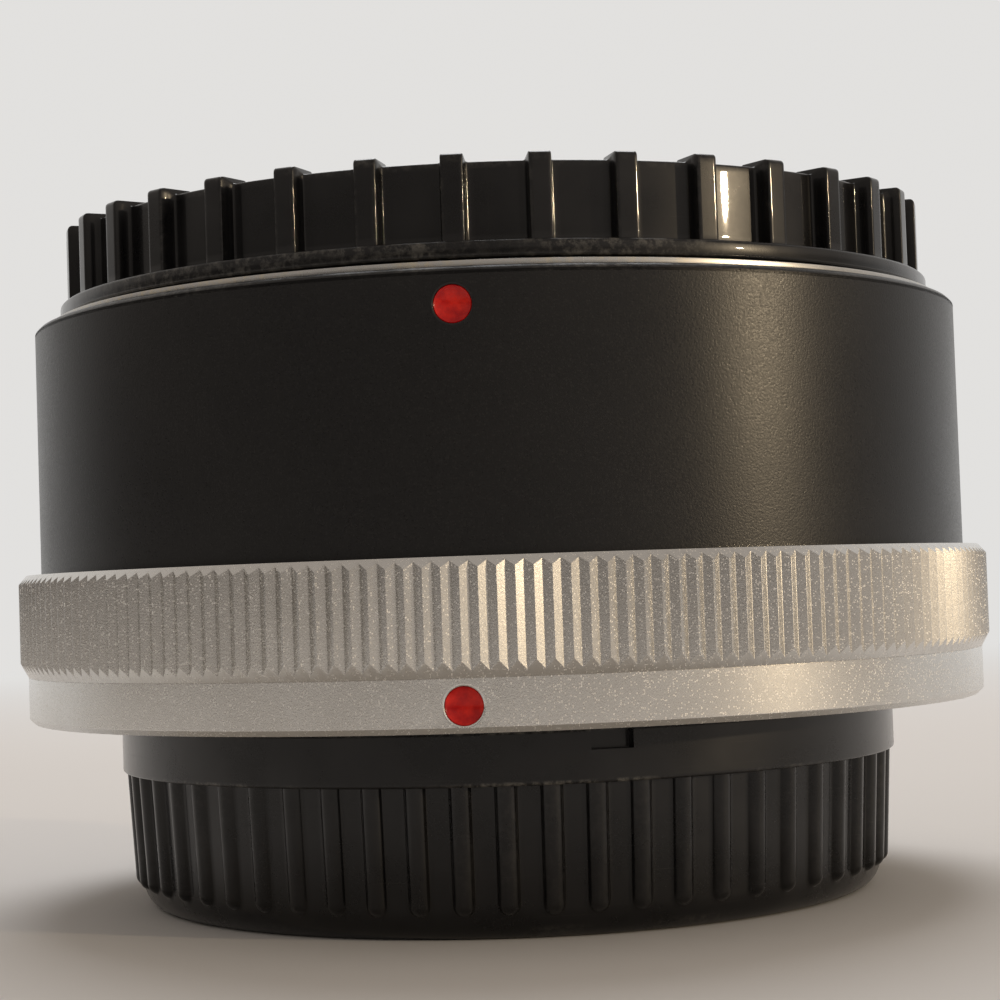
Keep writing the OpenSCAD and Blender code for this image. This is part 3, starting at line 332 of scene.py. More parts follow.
def shader_group(name, inputs, outputs):
    """Empty shader group: its tree, its inputs with their usual values, and its output node's sockets."""
    tree = bpy.data.node_groups.new(name, "ShaderNodeTree")
    for key, value in inputs.items():
        tree.interface.new_socket(key, in_out="INPUT", socket_type="NodeSocketFloat").default_value = value
    for key in outputs:
        tree.interface.new_socket(key, in_out="OUTPUT", socket_type="NodeSocketFloat")
    return tree, tree.nodes.new("NodeGroupInput").outputs, tree.nodes.new("NodeGroupOutput").inputs


def noise(tree, place, scale, detail, roughness=0.5):
    """Random value that changes smoothly over a place."""
    return wired(tree, "ShaderNodeTexNoise", {"Vector": place, "Scale": scale, "Detail": detail,
                                              "Roughness": roughness})[0]


def grain_group():
    """Fine grain of a moulded, blasted or anodised surface: its height, and a mask of a few grains, which
    finishes paint paler as painted glints and make rougher.
    """
    tree, given, out = shader_group("fine_grain", {"grain mm": 0.1, "glints": 0.1}, ("height", "glint"))
    place = wired(tree, "ShaderNodeTexCoord")["Object"]
    scale = calc(tree, "DIVIDE", 1000, given["grain mm"])
    cells = wired(tree, "ShaderNodeTexVoronoi", {"Vector": place, "Scale": scale})
    draw = wired(tree, "ShaderNodeSeparateColor", {0: cells["Color"]})[0]
    picked = calc(tree, "LESS_THAN", draw, given["glints"])
    near = calc(tree, "LESS_THAN", cells["Distance"], 0.42)
    tree.links.new(noise(tree, place, scale, 2.0, 0.65), out["height"])
    tree.links.new(times(tree, picked, near), out["glint"])
    return tree


def ranged(tree, value, low, high):
    """Value spread from 0 at low to 1 at high."""
    return wired(tree, "ShaderNodeMapRange", {"Value": value, "From Min": low, "From Max": high})[0]


def handling_group():
    """Marks of handling: blotches of skin grease, rubbed lines, scratches, scuffed edges, dirty corners."""
    tree, given, out = shader_group("handling", {"blotch mm": 6, "lines": 0.5, "scuffs": 0.5},
                                    ("blotch", "line", "scuff", "dirt"))
    place = wired(tree, "ShaderNodeTexCoord")["Object"]
    scale = calc(tree, "DIVIDE", 1000, given["blotch mm"])
    blotch = noise(tree, place, scale, 4.0, 0.55)
    tree.links.new(ranged(tree, blotch, 0.35, 0.68), out["blotch"])
    along = wired(tree, "ShaderNodeMapping", {"Vector": place, "Scale": (70, 70, 5200)})[0]
    streak = noise(tree, along, 1.0, 3.0, 0.7)
    across = wired(tree, "ShaderNodeMapping", {"Vector": place, "Rotation": (0.5, 0, 0.6),
                                               "Scale": (0.00024, 0.021, 0.021)}, vector_type="TEXTURE")[0]
    nick = noise(tree, across, 1.0, 3.0, 0.7)
    rubbed = calc(tree, "MAXIMUM", ranged(tree, streak, 0.66, 0.76), ranged(tree, nick, 0.68, 0.78))
    tree.links.new(times(tree, rubbed, given["lines"]), out["line"])
    edge = wired(tree, "ShaderNodeAttribute", attribute_name="wear")["Fac"]
    chips = noise(tree, place, 2100.0, 4.0, 0.7)
    spells = noise(tree, place, 95.0, 2.0)
    bite = times(tree, ranged(tree, chips, 0.45, 0.64), ranged(tree, spells, 0.47, 0.63))
    scuff = times(tree, times(tree, calc(tree, "MAXIMUM", edge), bite), given["scuffs"])
    tree.links.new(scuff, out["scuff"])
    tree.links.new(calc(tree, "MAXIMUM", times(tree, edge, -1.0)), out["dirt"])
    return tree


grain = grain_group()
handling = handling_group()


def mixed(tree, share, low, high):
    """Colour between two colours, by a share. The low one may be another node's output."""
    low = low if isinstance(low, bpy.types.NodeSocket) else (*low, 1)
    return wired(tree, "ShaderNodeMix", {0: share, 6: low, 7: (*high, 1)}, data_type="RGBA")[2]


def weighed(tree, base, *shares):
    """Value that starts at a base and adds each (output, amount)."""
    for output, amount in shares:
        base = calc(tree, "MULTIPLY_ADD", output, amount, base)
    return base


def new_finish(name, low, high, layers=(), rough=(0.5,), coat=None, relief=None, own=None, fixed=None,
               grain_mm=0.1, glints=0.05, blotch_mm=6.0, lines=0.3, scuffs=0.3):
    """Material whose blotches go from a low to a high colour, under layers of (mark, share, colour).
    Roughness and coat are a base and (mark, amount) pairs, and so is the relief, but its first number is
    its full rise in thousandths of a millimetre. A finish may have one mark of its own."""
    material = bpy.data.materials.new(name)
    material.use_nodes = True
    tree = material.node_tree
    shader = tree.nodes["Principled BSDF"].inputs
    fine = wired(tree, "ShaderNodeGroup", {"grain mm": grain_mm, "glints": glints}, node_tree=grain)
    hand = wired(tree, "ShaderNodeGroup", {"blotch mm": blotch_mm, "lines": lines, "scuffs": scuffs},
                 node_tree=handling)
    marks = dict(fine.items()) | dict(hand.items())
    if own:
        marks["own"] = own(tree)

    def summed(base, *pairs):
        return weighed(tree, base, *((marks[mark], amount) for mark, amount in pairs))

    colour = mixed(tree, marks["blotch"], low, high)
    for mark, share, over in layers:
        colour = mixed(tree, times(tree, marks[mark], share), colour, over)
    tree.links.new(colour, shader["Base Color"])
    tree.links.new(summed(*rough), shader["Roughness"])
    if coat:
        tree.links.new(summed(*coat), shader["Coat Weight"])
    if relief:
        rise_um, *heights = relief
        bump = wired(tree, "ShaderNodeBump", {"Height": summed(0, *heights), "Distance": rise_um * 1e-6})[0]
        tree.links.new(bump, shader["Normal"])
    for key, value in (fixed or {}).items():
        shader[key].default_value = value
    return material


def swell(tree):
    """Slow waves of a moulded face."""
    return noise(tree, wired(tree, "ShaderNodeTexCoord")["Object"], 380.0, 1.0)


# Black moulded plastic: glossy, a little wavy, greasy from fingers, with pale scuffs on its edges.
cap_plastic = new_finish(
    "cap_plastic", (0.0030, 0.0028, 0.0033), (0.0052, 0.0049, 0.0052),
    layers=(("line", 1, (0.03, 0.029, 0.027)), ("scuff", 1, (0.2, 0.19, 0.17)),
            ("dirt", 0.35, (0.03, 0.027, 0.023))),
    rough=(0.23, ("blotch", 0.07), ("line", 0.2), ("scuff", 0.3), ("height", 0.06)),
    coat=(0.33, ("blotch", 0.22)), relief=(10, ("own", 1), ("height", 0.12)), own=swell,
    fixed={"IOR": 1.34, "Coat Roughness": 0.03, "Coat IOR": 1.4},
    grain_mm=0.2, blotch_mm=5, lines=0.4, scuffs=0.55)
slices = slices_tree()
cup = grown(slices, grip_slice(), count=GRIPS, first=math.radians(FIRST_GRIP), weld=WELD,
            material=cap_plastic)
notch_half = math.degrees(NOTCH_HALF / BAND_R)
band_outline = rounded([
    (THROAT_R, CUP_TOP_Z, 0), (BAND_R, CUP_TOP_Z, 0.14), (BAND_R, NOTCH_LOW_Z - 0.04, 0),
    (BAND_R, NOTCH_LOW_Z, 0), (BAND_R, BAND_TOP_Z, 0.12), (NOTCH_R + 0.1, BAND_TOP_Z, 0),
    (NECK_R, BAND_TOP_Z, 0.06), (NECK_R, LUG_TOP_Z, 0.1), (THROAT_R, LUG_TOP_Z, 0.1)])


def notched(angle):
    """Outline of the band and neck, cut back where the notch is."""
    if abs(angle - NOTCH_ANGLE) > notch_half:
        return band_outline
    return [(min(r, NOTCH_R) if z > NOTCH_LOW_Z - 0.01 else r, z, rub) for r, z, rub in band_outline]


work, wear = new_work()
notch_sides = [NOTCH_ANGLE + side * (notch_half + gap) for side in (-1, 1) for gap in (-0.01, 0.04)]
turned(work, wear, whole_turn(BAND_STEP, notch_sides), notched)
for centre in (60, 180, 300):
    lug(work, wear, centre, (NECK_R - 0.3, LUG_LOW_Z), (LUG_R, LUG_TOP_Z - 0.01))
fitted(joined("rear_cap_moulding", work, cup), cap_plastic, "rear_cap", "cap_plastic", "rear_cap")

# Breech ring: the silver ring that locks the mount. Turned from aluminium bar, bead-blasted and clear
# anodised, with a fine straight knurl above a smooth band, and a drilled dimple for its index dot.
KNURLS = 200
RING_LOW_Z, RING_TOP_Z, KNURL_Z = 12.4, 22.1, 15.45
RING_BAND_R, CREST_R, VALLEY_R, RING_EDGE = 31.98, 32.48, 32.2, 0.35
KNURL_LEAD, KNURL_TOP_LEAD = 0.9, 0.6
SKIRT_R, LIP_BORE_R, LIP_LOW_Z, LIP_TOP_Z = 31.08, 26.68, 17.8, 19.0
KNURL_BACK_R, CORE_R = 31.4, 31.3
CAVITY_R, CLAW_SEAT_R, CLAW_SEAT_Z = 28.1, 30.33, 14.1
STOP_SLOT_FROM, STOP_SLOT_TO, STOP_SLOT_R = 178.2, 241.8, 27.68
DOT_R, DOT_DEPTH, RING_DOT_Z = 1.1, 0.4, 13.925
WINDOW_CELLS, WINDOW_HALF_SPAN, RING_WINDOW_Z = 8, 4.0, (12.8, 15.36)
DIMPLED_STEP, KNURL_CREASE = 1.5, 24


def knurl_slice():
    """One tooth of the knurl, from groove to groove, with its run-outs and the skirt behind it."""
    work, wear = new_work()
    half = 180 / KNURLS
    back_z = KNURL_Z - 0.05
    columns = []
    for share, rub in ((-1, -0.35), (-0.96, -0.25), (-0.03, 0.45), (0.03, 0.45), (0.96, -0.25), (1, -0.35)):
        r = CREST_R if rub > 0 else VALLEY_R
        rise = (r - RING_BAND_R) / (CREST_R - RING_BAND_R)
        low, top = KNURL_Z + KNURL_LEAD * rise, RING_TOP_Z - KNURL_TOP_LEAD * rise
        outline = [(RING_BAND_R - 0.06, back_z, 0), (RING_BAND_R, KNURL_Z, 0), (r, low, rub), (r, top, rub),
                   (RING_BAND_R, RING_TOP_Z - 0.01, 0.2), (SKIRT_R + 0.1, RING_TOP_Z, 0),
                   (SKIRT_R, LIP_TOP_Z - 0.05, 0), (KNURL_BACK_R, LIP_TOP_Z - 0.1, 0),
                   (KNURL_BACK_R, back_z, 0)]
        columns.append([point(work, wear, polar(share * half, r, z), rub) for r, z, rub in outline])
    for left, right in zip(columns, columns[1:]):
        strip(work, right + right[:1], left + left[:1])
    return as_mesh("knurl_slice", work)


def levels(low, high, count):
    """Even levels from low to high, both included."""
    return [low + (high - low) * k / count for k in range(count + 1)]


def dimpled(work, wear, outline, r, z, window_z, extra=()):
    """Skin of a closed outline(angle) with a drilled dimple at the index, in a square window of its rows."""
    span = levels(-WINDOW_HALF_SPAN, WINDOW_HALF_SPAN, WINDOW_CELLS)
    outside = [a for a in whole_turn(DIMPLED_STEP, extra) if WINDOW_HALF_SPAN < a < 360 - WINDOW_HALF_SPAN]
    first_row = [p[1] for p in outline(0)].index(window_z[0])
    cells, rows = range(WINDOW_CELLS), range(first_row, first_row + WINDOW_CELLS)
    columns = turned(work, wear, span + outside, outline, window=(cells, rows))
    low, high, last = first_row, first_row + WINDOW_CELLS, WINDOW_CELLS
    mouth = ([columns[k][low] for k in cells] + [columns[last][low + k] for k in cells]
             + [columns[last - k][high] for k in cells] + [columns[0][high - k] for k in cells])
    around = len(mouth)
    wall = ((DOT_R + 0.13, 0, 0), (DOT_R + 0.08, 0, 0.4), (DOT_R + 0.06, 0.008, 1), (DOT_R, 0.05, 0.8),
            (DOT_R - 0.01, DOT_DEPTH - 0.06, 0), (DOT_R - 0.06, DOT_DEPTH, -1))
    for reach, sink, rub in wall:
        row = []
        for k in range(around):
            turn = math.radians(225 + 360 * k / around)
            angle = math.degrees(math.asin(reach * math.cos(turn) / r))
            row.append(point(work, wear, polar(angle, r - sink, z + reach * math.sin(turn)), rub))
        strip(work, mouth + mouth[:1], row + row[:1])
        mouth = row
    work.faces.new(mouth)


# Bead-blasted aluminium under clear anodising: satin, with painted glints for its sparkle, bare edges and
# dirty grooves.
ring_silver = new_finish(
    "ring_silver", (0.70, 0.685, 0.655), (0.77, 0.76, 0.735),
    # The glint layer is painted highlight: a few grains mixed towards white, standing in for sparkle.
    layers=(("dirt", 0.7, (0.30, 0.28, 0.25)), ("glint", 0.75, (1.0, 0.98, 0.94)),
            ("scuff", 1, (0.85, 0.84, 0.82))),
    rough=(0.17, ("height", 0.1), ("glint", 0.4), ("scuff", -0.06), ("dirt", 0.15)),
    relief=(4, ("height", 1)), fixed={"Metallic": 1}, glints=0.2, blotch_mm=9, lines=0.25, scuffs=0.9)
knurled_skin = grown(slices, knurl_slice(), count=KNURLS, weld=WELD, material=ring_silver)
stop_ends = (STOP_SLOT_FROM, STOP_SLOT_FROM + 0.1, STOP_SLOT_TO - 0.1, STOP_SLOT_TO)
ring_window = levels(*RING_WINDOW_Z, WINDOW_CELLS)
ring_outline = rounded(
    [(CLAW_SEAT_R, RING_LOW_Z, 0.1), (RING_BAND_R - RING_EDGE, RING_LOW_Z, 0.06),
     (RING_BAND_R, RING_LOW_Z + RING_EDGE, 0.04)] + [(RING_BAND_R, z, 0) for z in ring_window]
    + [(RING_BAND_R, KNURL_Z - 0.02, 0), (CORE_R, KNURL_Z, 0), (CORE_R, LIP_TOP_Z, 0),
       (LIP_BORE_R, LIP_TOP_Z, 0.1), (LIP_BORE_R, LIP_LOW_Z, 0.1), (CAVITY_R, LIP_LOW_Z, 0),
       (CAVITY_R, CLAW_SEAT_Z, 0), (CLAW_SEAT_R, CLAW_SEAT_Z, 0)],
    steps=5)


def stop_slotted(angle):
    """Outline of the ring's body, with its inner lip cut back where the stop screw runs."""
    if not STOP_SLOT_FROM < angle < STOP_SLOT_TO:
        return ring_outline
    return [(max(r, STOP_SLOT_R) if LIP_LOW_Z <= z <= LIP_TOP_Z else r, z, rub) for r, z, rub in ring_outline]


work, wear = new_work()
dimpled(work, wear, stop_slotted, RING_BAND_R, RING_DOT_Z, ring_window, stop_ends)
fitted(joined("breech_ring_turning", work, knurled_skin, crease=KNURL_CREASE), ring_silver, "lock_ring",
       "ring_silver", "breech_ring")

# Ring index dot: a drop of red enamel, run by hand into the ring's dimple. It dried with a raised rim
# and a shallow hollow, so it glints near its lower edge.


def enamel_drop(name, r, z):
    """Closed drop of enamel in a dimple at the index: flat below, dished and a little slumped on top."""
    work, wear = new_work()
    around, dish = 48, 0.27
    rim_r, back, rim = DOT_R - 0.015, DOT_DEPTH - 0.015, 0.07
    profile = [(0.02, back), (rim_r - 0.06, back), (rim_r, back - 0.05), (rim_r, rim + 0.05),
               (rim_r - 0.05, rim)]
    profile += [(rim_r * share, rim + dish * (1 - share ** 2)) for share in (0.9, 0.75, 0.55, 0.3, 0.02)]
    rows = []
    for reach, sink in profile:
        row = []
        for k in range(around):
            turn = 2 * math.pi * k / around
            slump = 0.02 * reach * math.sin(turn + 0.6) if sink < back - 0.1 else 0
            angle = math.degrees(math.asin(reach * math.cos(turn) / r))
            row.append(point(work, wear, polar(angle, r - sink - slump, z + reach * math.sin(turn)), 0))
        rows.append(row)
    for low, high in zip(rows, rows[1:]):
        strip(work, low + low[:1], high + high[:1])
    work.faces.new(rows[0])
    work.faces.new(rows[-1])
    return joined(name, work)


# Red enamel: glossy, uneven in depth and a little wavy.
index_red = new_finish(
    "index_red", (0.40, 0.004, 0.005), (0.72, 0.020, 0.010), rough=(0.14, ("blotch", 0.12)),
    relief=(25, ("height", 1)), fixed={"IOR": 1.36}, grain_mm=0.5, blotch_mm=0.8)
fitted(enamel_drop("ring_dot_enamel", RING_BAND_R, RING_DOT_Z), index_red, "lock_ring", "index_red",
       "ring_index_dot")

# Claw ring and its screws: the steel ring with three claws that grip the camera's mount, chromed, let into
# the breech ring from below and held by three small slotted screws.
CLAW_SCREW_R, CLAW_RING_Z = 29.215, 12.6
FINE_HEAD_R, FINE_SHANK_R = 0.85, 0.45
SLOT_W, HEAD_SINK, HEAD_ROOM = 0.3, 0.015, 0.7
FLAT_WITHIN, SHARP_FROM = 0.6, 35


def eased(node, name, width, material, body, slot):
    """Puts a copy of a solid's skin in its place, with its sharp edges eased, as on a deburred part."""
    work, wear = new_work()
    work.from_mesh(cad_nodes[node].data)
    bmesh.ops.remove_doubles(work, verts=work.verts, dist=WELD)
    bmesh.ops.dissolve_limit(work, angle_limit=math.radians(FLAT_WITHIN), verts=work.verts, edges=work.edges)
    sharp = [edge for edge in work.edges
             if len(edge.link_faces) == 2 and edge.calc_face_angle() > math.radians(SHARP_FROM)]
    rims = bmesh.ops.bevel(work, geom=sharp, offset=width * MM, segments=2, profile=0.6, affect="EDGES",
                           clamp_overlap=True)
    for vert in rims["verts"]:
        vert[wear] = 1
    mesh = joined(name, work)
    if "custom_normal" in mesh.attributes:
        mesh.attributes.remove(mesh.attributes["custom_normal"])
    fitted(mesh, material, body, slot, node)


def round_axis(tree, angle, r, z):
    """Place at an angle from the index mark, as polar gives it, but in radians and by nodes."""
    x = times(tree, r, calc(tree, "SINE", angle))
    y = times(tree, times(tree, r, -1.0), calc(tree, "COSINE", angle))
    return wired(tree, "ShaderNodeCombineXYZ", {"X": x, "Y": y, "Z": z})[0]


def screws_tree():
    """Sets slotted countersunk screws on a circle round the axis, their slots left as they came to rest."""
    tree, given, out = geometry_tree(
        "slotted_screws", stock="Geometry", count="Int", first_angle="Float", circle_r="Float",
        head_z="Float", head_r="Float", shank_r="Float", length="Float", slot="Float", tilt="Float",
        seed="Int", material="Material")
    head_h = calc(tree, "SUBTRACT", given["head_r"], given["shank_r"])
    head = wired(tree, "GeometryNodeMeshCone", {
        "Vertices": 32, "Radius Bottom": given["head_r"], "Radius Top": given["shank_r"], "Depth": head_h})[0]
    rod = wired(tree, "GeometryNodeMeshCylinder", {
        "Vertices": 24, "Radius": times(tree, given["shank_r"], 0.98), "Depth": given["length"]})[0]
    middle = wired(tree, "ShaderNodeCombineXYZ",
                   {"Z": calc(tree, "MULTIPLY_ADD", given["length"], 0.5, head_h)})[0]
    shank = wired(tree, "GeometryNodeTransform", {"Geometry": rod, "Translation": middle})[0]
    slot_size = wired(tree, "ShaderNodeCombineXYZ", {
        "X": times(tree, given["head_r"], 2.4), "Y": given["slot"],
        "Z": times(tree, given["slot"], 1.7)})[0]
    cutter = wired(tree, "GeometryNodeMeshCube", {"Size": slot_size})[0]
    both = tree.nodes.new("GeometryNodeJoinGeometry")
    slotted = wired(tree, "GeometryNodeMeshBoolean", {0: head, 1: cutter}, operation="DIFFERENCE")[0]
    for half in (slotted, shank):
        tree.links.new(half, both.inputs[0])
    screw = both.outputs[0]
    index = wired(tree, "GeometryNodeInputIndex")[0]
    pitch = calc(tree, "DIVIDE", 2 * math.pi, given["count"])
    angle = calc(tree, "MULTIPLY_ADD", index, pitch, given["first_angle"])
    spot = round_axis(tree, angle, given["circle_r"], given["head_z"])
    spots = wired(tree, "GeometryNodePoints", {"Count": given["count"], "Position": spot})[0]
    rest = wired(tree, "FunctionNodeRandomValue", {2: 0.0, 3: math.pi, "Seed": given["seed"]},
                 data_type="FLOAT")[1]
    turn = wired(tree, "FunctionNodeEulerToRotation", {
        0: wired(tree, "ShaderNodeCombineXYZ", {"X": given["tilt"], "Z": rest})[0]})[0]
    copies = wired(tree, "GeometryNodeInstanceOnPoints",
                   {"Points": spots, "Instance": screw, "Rotation": turn})[0]
    return ended(tree, wired(tree, "GeometryNodeRealizeInstances", {0: copies})[0], given, out)


def turned_lines_group():
    """Fine lines that a lathe tool leaves: rings on flat faces, hoops on round ones."""
    tree, given, out = shader_group("turned_lines", {"feed mm": 0.06}, ("height",))
    place = wired(tree, "ShaderNodeSeparateXYZ", {0: wired(tree, "ShaderNodeTexCoord")["Object"]})
    flat = wired(tree, "ShaderNodeCombineXYZ", {"X": place["X"], "Y": place["Y"]})[0]
    out_from_axis = wired(tree, "ShaderNodeVectorMath", {0: flat}, operation="LENGTH")["Value"]
    across = wired(tree, "ShaderNodeCombineXYZ", {"X": out_from_axis, "Y": place["Z"]})[0]
    scale = calc(tree, "DIVIDE", 1000, given["feed mm"])
    lines = wired(tree, "ShaderNodeTexNoise", {"Vector": across, "Scale": scale, "Detail": 2.0},
                  noise_dimensions="2D")[0]
    tree.links.new(lines, out["height"])
    return tree


turned_lines = turned_lines_group()


def lathe_lines(tree):
    """Lines of a turned plate."""
    return wired(tree, "ShaderNodeGroup", {"feed mm": 0.07}, node_tree=turned_lines)["height"]


# Satin chrome on turned metal, with the tool's lines under it and fine rubbing from lens changes.
mount_chrome = new_finish(
    "mount_chrome", (0.50, 0.50, 0.49), (0.60, 0.59, 0.57),
    layers=(("dirt", 1, (0.30, 0.29, 0.27)), ("scuff", 1, (0.72, 0.62, 0.42))),
    rough=(0.18, ("own", 0.16), ("line", 0.15), ("blotch", 0.06)), relief=(1.5, ("own", 1)),
    own=lathe_lines, fixed={"Metallic": 1}, blotch_mm=7, lines=0.5, scuffs=0.6)
# Blackened steel screws, bright where a driver has bitten.
screw_steel = new_finish(
    "screw_steel", (0.16, 0.155, 0.15), (0.34, 0.33, 0.32), rough=(0.26, ("height", 0.14)),
    relief=(3, ("height", 1)), fixed={"Metallic": 1}, grain_mm=0.08, blotch_mm=0.7)
slotted_screws = screws_tree()


def set_screws(name, body, node, count, first_angle, circle_r, head_z, head_r, shank_r, length,
               up=True, seed=1):
    """One set of slotted screws in place of its solids. Their heads are a hair below flush."""
    sink = HEAD_SINK if up else -HEAD_SINK
    mesh = grown(
        slotted_screws, bpy.data.meshes.new("stock"), count=count, first_angle=math.radians(first_angle),
        circle_r=circle_r * MM, head_z=(head_z + sink) * MM, head_r=head_r * MM, shank_r=shank_r * MM,
        length=(length - HEAD_ROOM) * MM, slot=SLOT_W * MM, tilt=0.0 if up else math.pi, seed=seed,
        material=screw_steel)
    work, wear = new_work()
    fitted(joined(name, work, mesh), screw_steel, body, "screw_steel", node)


eased("claw_ring", "claw_ring_plate", 0.08, mount_chrome, "lock_ring", "mount_chrome")
set_screws("claw_ring_slotted_screws", "lock_ring", "claw_ring_screws", 3, 60, CLAW_SCREW_R, CLAW_RING_Z,
           FINE_HEAD_R, FINE_SHANK_R, length=3.0, seed=3)

# Rear mount: the seat plate that meets the camera, with a short tube, slots for the levers and a locating
# pin. Turned and chromed, held to the frame by four slotted screws from below.
MOUNT_SCREW_R, MOUNT_SEAT_Z = 25.0, 16.0
HEAD_R, SHANK_R = 1.1, 0.6


def brushing(tree):
    """Lines of a brushed strip, along the axis."""
    place = wired(tree, "ShaderNodeTexCoord")["Object"]
    along = wired(tree, "ShaderNodeMapping", {"Vector": place, "Scale": (9000, 9000, 350)})[0]
    return noise(tree, along, 1.0, 2.0)


# Plain rolled steel strip, brushed along its length and lightly oiled.
lever_steel = new_finish(
    "lever_steel", (0.40, 0.39, 0.37), (0.55, 0.54, 0.52), rough=(0.22, ("own", 0.2)),
    relief=(3, ("own", 1)), own=brushing, fixed={"Metallic": 1}, blotch_mm=3)
eased("rear_mount", "rear_mount_plate", 0.08, mount_chrome, "converter", "mount_chrome")
eased("locating_pin", "locating_pin_dowel", 0.12, lever_steel, "converter", "lever_steel")
set_screws("rear_mount_slotted_screws", "converter", "rear_mount_screws", 4, 45, MOUNT_SCREW_R, MOUNT_SEAT_Z,
           HEAD_R, SHANK_R, length=4.0, seed=5)

# Rear mask: a thin stamped plate behind the last glass, whose rectangular window trims the light. It is
# painted flat black and held on the seat plate by two small slotted screws.
MASK_SCREW_R, MASK_Z = 18.66, 15.5
# Flat black paint that swallows stray light: deep, dusty and slightly rough.
inner_black = new_finish(
    "inner_black", (0.006, 0.006, 0.0065), (0.0105, 0.010, 0.010),
    layers=(("glint", 0.7, (0.16, 0.155, 0.145)), ("scuff", 1, (0.09, 0.088, 0.085))),
    rough=(0.5, ("height", 0.2)), relief=(9, ("height", 1)),
    grain_mm=0.09, glints=0.012, blotch_mm=4, scuffs=0.5)
eased("rear_mask", "rear_mask_stamping", 0.05, inner_black, "converter", "inner_black")
set_screws("mask_slotted_screws", "converter", "mask_screws", 2, 0, MASK_SCREW_R, MASK_Z,
           FINE_HEAD_R, FINE_SHANK_R, length=1.7, seed=7)

# Frame: the turned bulkhead that carries the optics, the silver ring and the rear mount, painted black. Four
# screws from the rear hold it in the barrel, and the ring's stop screw is set in its side.


def dress(material, *nodes):
    """Gives solids that stay as they are a better finish."""
    for node in nodes:
        cad_nodes[node].data.materials[0] = material


dress(screw_steel, "frame_screws", "ring_stop_screw")
eased("rear_frame", "rear_frame_turning", 0.08, inner_black, "converter", "inner_black")

# Optics: four coated glass elements in a black anodised cell, with spacers between them, threaded retaining
# rings with spanner slots, and a lock ring that holds the cell in the frame. The glass has the faint haze of
# old handling.
lens_glass = new_finish(
    "lens_glass", (0.955, 0.975, 0.97), (0.985, 0.99, 0.99), rough=(0.005, ("blotch", 0.02)),
    fixed={"IOR": 1.62, "Transmission Weight": 1, "Thin Film Thickness": 118, "Thin Film IOR": 1.38},
    grain_mm=0.6, blotch_mm=5)
dress(lens_glass, "front_element", "second_element", "third_element", "rear_element")
dress(inner_black, "front_spacer", "rear_spacer", "cell_lock_ring")
for node, name in (("lens_cell", "lens_cell_tube"), ("front_retainer", "front_retainer_ring"),
                   ("rear_retainer", "rear_retainer_ring")):
    eased(node, name, 0.06, inner_black, "converter", "inner_black")

# Coupling levers: two steel rings that turn in the barrel between circlips, each with a bent arm to the front
# and one to the rear, riveted on with brass, and a coil spring that sends it back to its stop.
SPRING_R, COIL_R, WIRE_R, LEVER_COILS = 26.56, 0.55, 0.15, 13
SPRING_FROM, SPRING_TO = 0.4, 64.3
LEVERS = (("diaphragm", 23.6, 260.0), ("signal", 25.9, 0.0))


def wire_along(tree, path, wire_r):
    """Round wire along a path, with closed ends."""
    section = wired(tree, "GeometryNodeCurvePrimitiveCircle", {"Resolution": 8, "Radius": wire_r})[0]
    return wired(tree, "GeometryNodeCurveToMesh",
                 {"Curve": path, "Profile Curve": section, "Fill Caps": True})[0]


def coil_tree():
    """Coil of wire along an arc round the axis."""
    tree, given, out = geometry_tree(
        "wire_coil", stock="Geometry", turns="Float", coil_r="Float", wire_r="Float", arc_r="Float",
        height="Float", start="Float", sweep="Float", material="Material")
    rings = 16
    steps = times(tree, given["turns"], rings)
    line = wired(tree, "GeometryNodeMeshLine", {"Count": calc(tree, "ADD", steps, 1.0)})[0]
    path = wired(tree, "GeometryNodeMeshToCurve", {0: line})[0]
    share = calc(tree, "DIVIDE", wired(tree, "GeometryNodeInputIndex")[0], steps)
    angle = calc(tree, "MULTIPLY_ADD", share, given["sweep"], given["start"])
    turn = times(tree, share, times(tree, given["turns"], 2 * math.pi))
    reach = calc(tree, "MULTIPLY_ADD", calc(tree, "COSINE", turn), given["coil_r"], given["arc_r"])
    height = calc(tree, "MULTIPLY_ADD", calc(tree, "SINE", turn), given["coil_r"], given["height"])
    bent = wired(tree, "GeometryNodeSetPosition",
                 {"Geometry": path, "Position": round_axis(tree, angle, reach, height)})[0]
    return ended(tree, wire_along(tree, bent, given["wire_r"]), given, out)


def sprung(mesh, node):
    """Puts a spring into the scene in place of its solid, with its place baked into its points."""
    spring = finished(mesh, lever_steel)
    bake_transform(spring)
    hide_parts(node)


# Bare turned brass, a little tarnished.
post_brass = new_finish(
    "post_brass", (0.45, 0.31, 0.13), (0.66, 0.48, 0.21), rough=(0.24, ("height", 0.15)),
    relief=(3, ("height", 1)), fixed={"Metallic": 1}, blotch_mm=2)
wire_coil = coil_tree()
dress(lever_steel, "lower_circlip", "upper_circlip", "diaphragm_ring", "signal_ring")
dress(post_brass, "spring_posts", "diaphragm_rivets", "signal_rivets")
for lever, middle_z, window in LEVERS:
    body = f"{lever}_lever"
    for arm in (f"{lever}_front_arm", f"{lever}_rear_arm"):
        eased(arm, f"{arm}_blade", 0.1, lever_steel, body, "lever_steel")
    start, end = window + SPRING_FROM, window + SPRING_TO
    mesh = grown(wire_coil, bpy.data.meshes.new("stock"), turns=LEVER_COILS, coil_r=COIL_R * MM,
                 wire_r=WIRE_R * MM, arc_r=SPRING_R * MM, height=middle_z * MM, start=math.radians(start),
                 sweep=math.radians(end - start), material=lever_steel)
    work, wear = new_work()
    sprung(joined(f"{lever}_spring_coil", work, mesh), f"{lever}_spring")

# Full-aperture plunger: a turned steel pin that passes on the lens's own pin. It slides in the frame and the
# seat plate, and a coil of thin wire between the frame and its collar sends it back.
PLUNGER_ANGLE, PLUNGER_R, PLUNGER_COIL_R, PLUNGER_COILS = 40, 21.7, 1.1, 7
PLUNGER_SPRING_LOW_Z, PLUNGER_SPRING_HIGH_Z = 22.95, 32.45


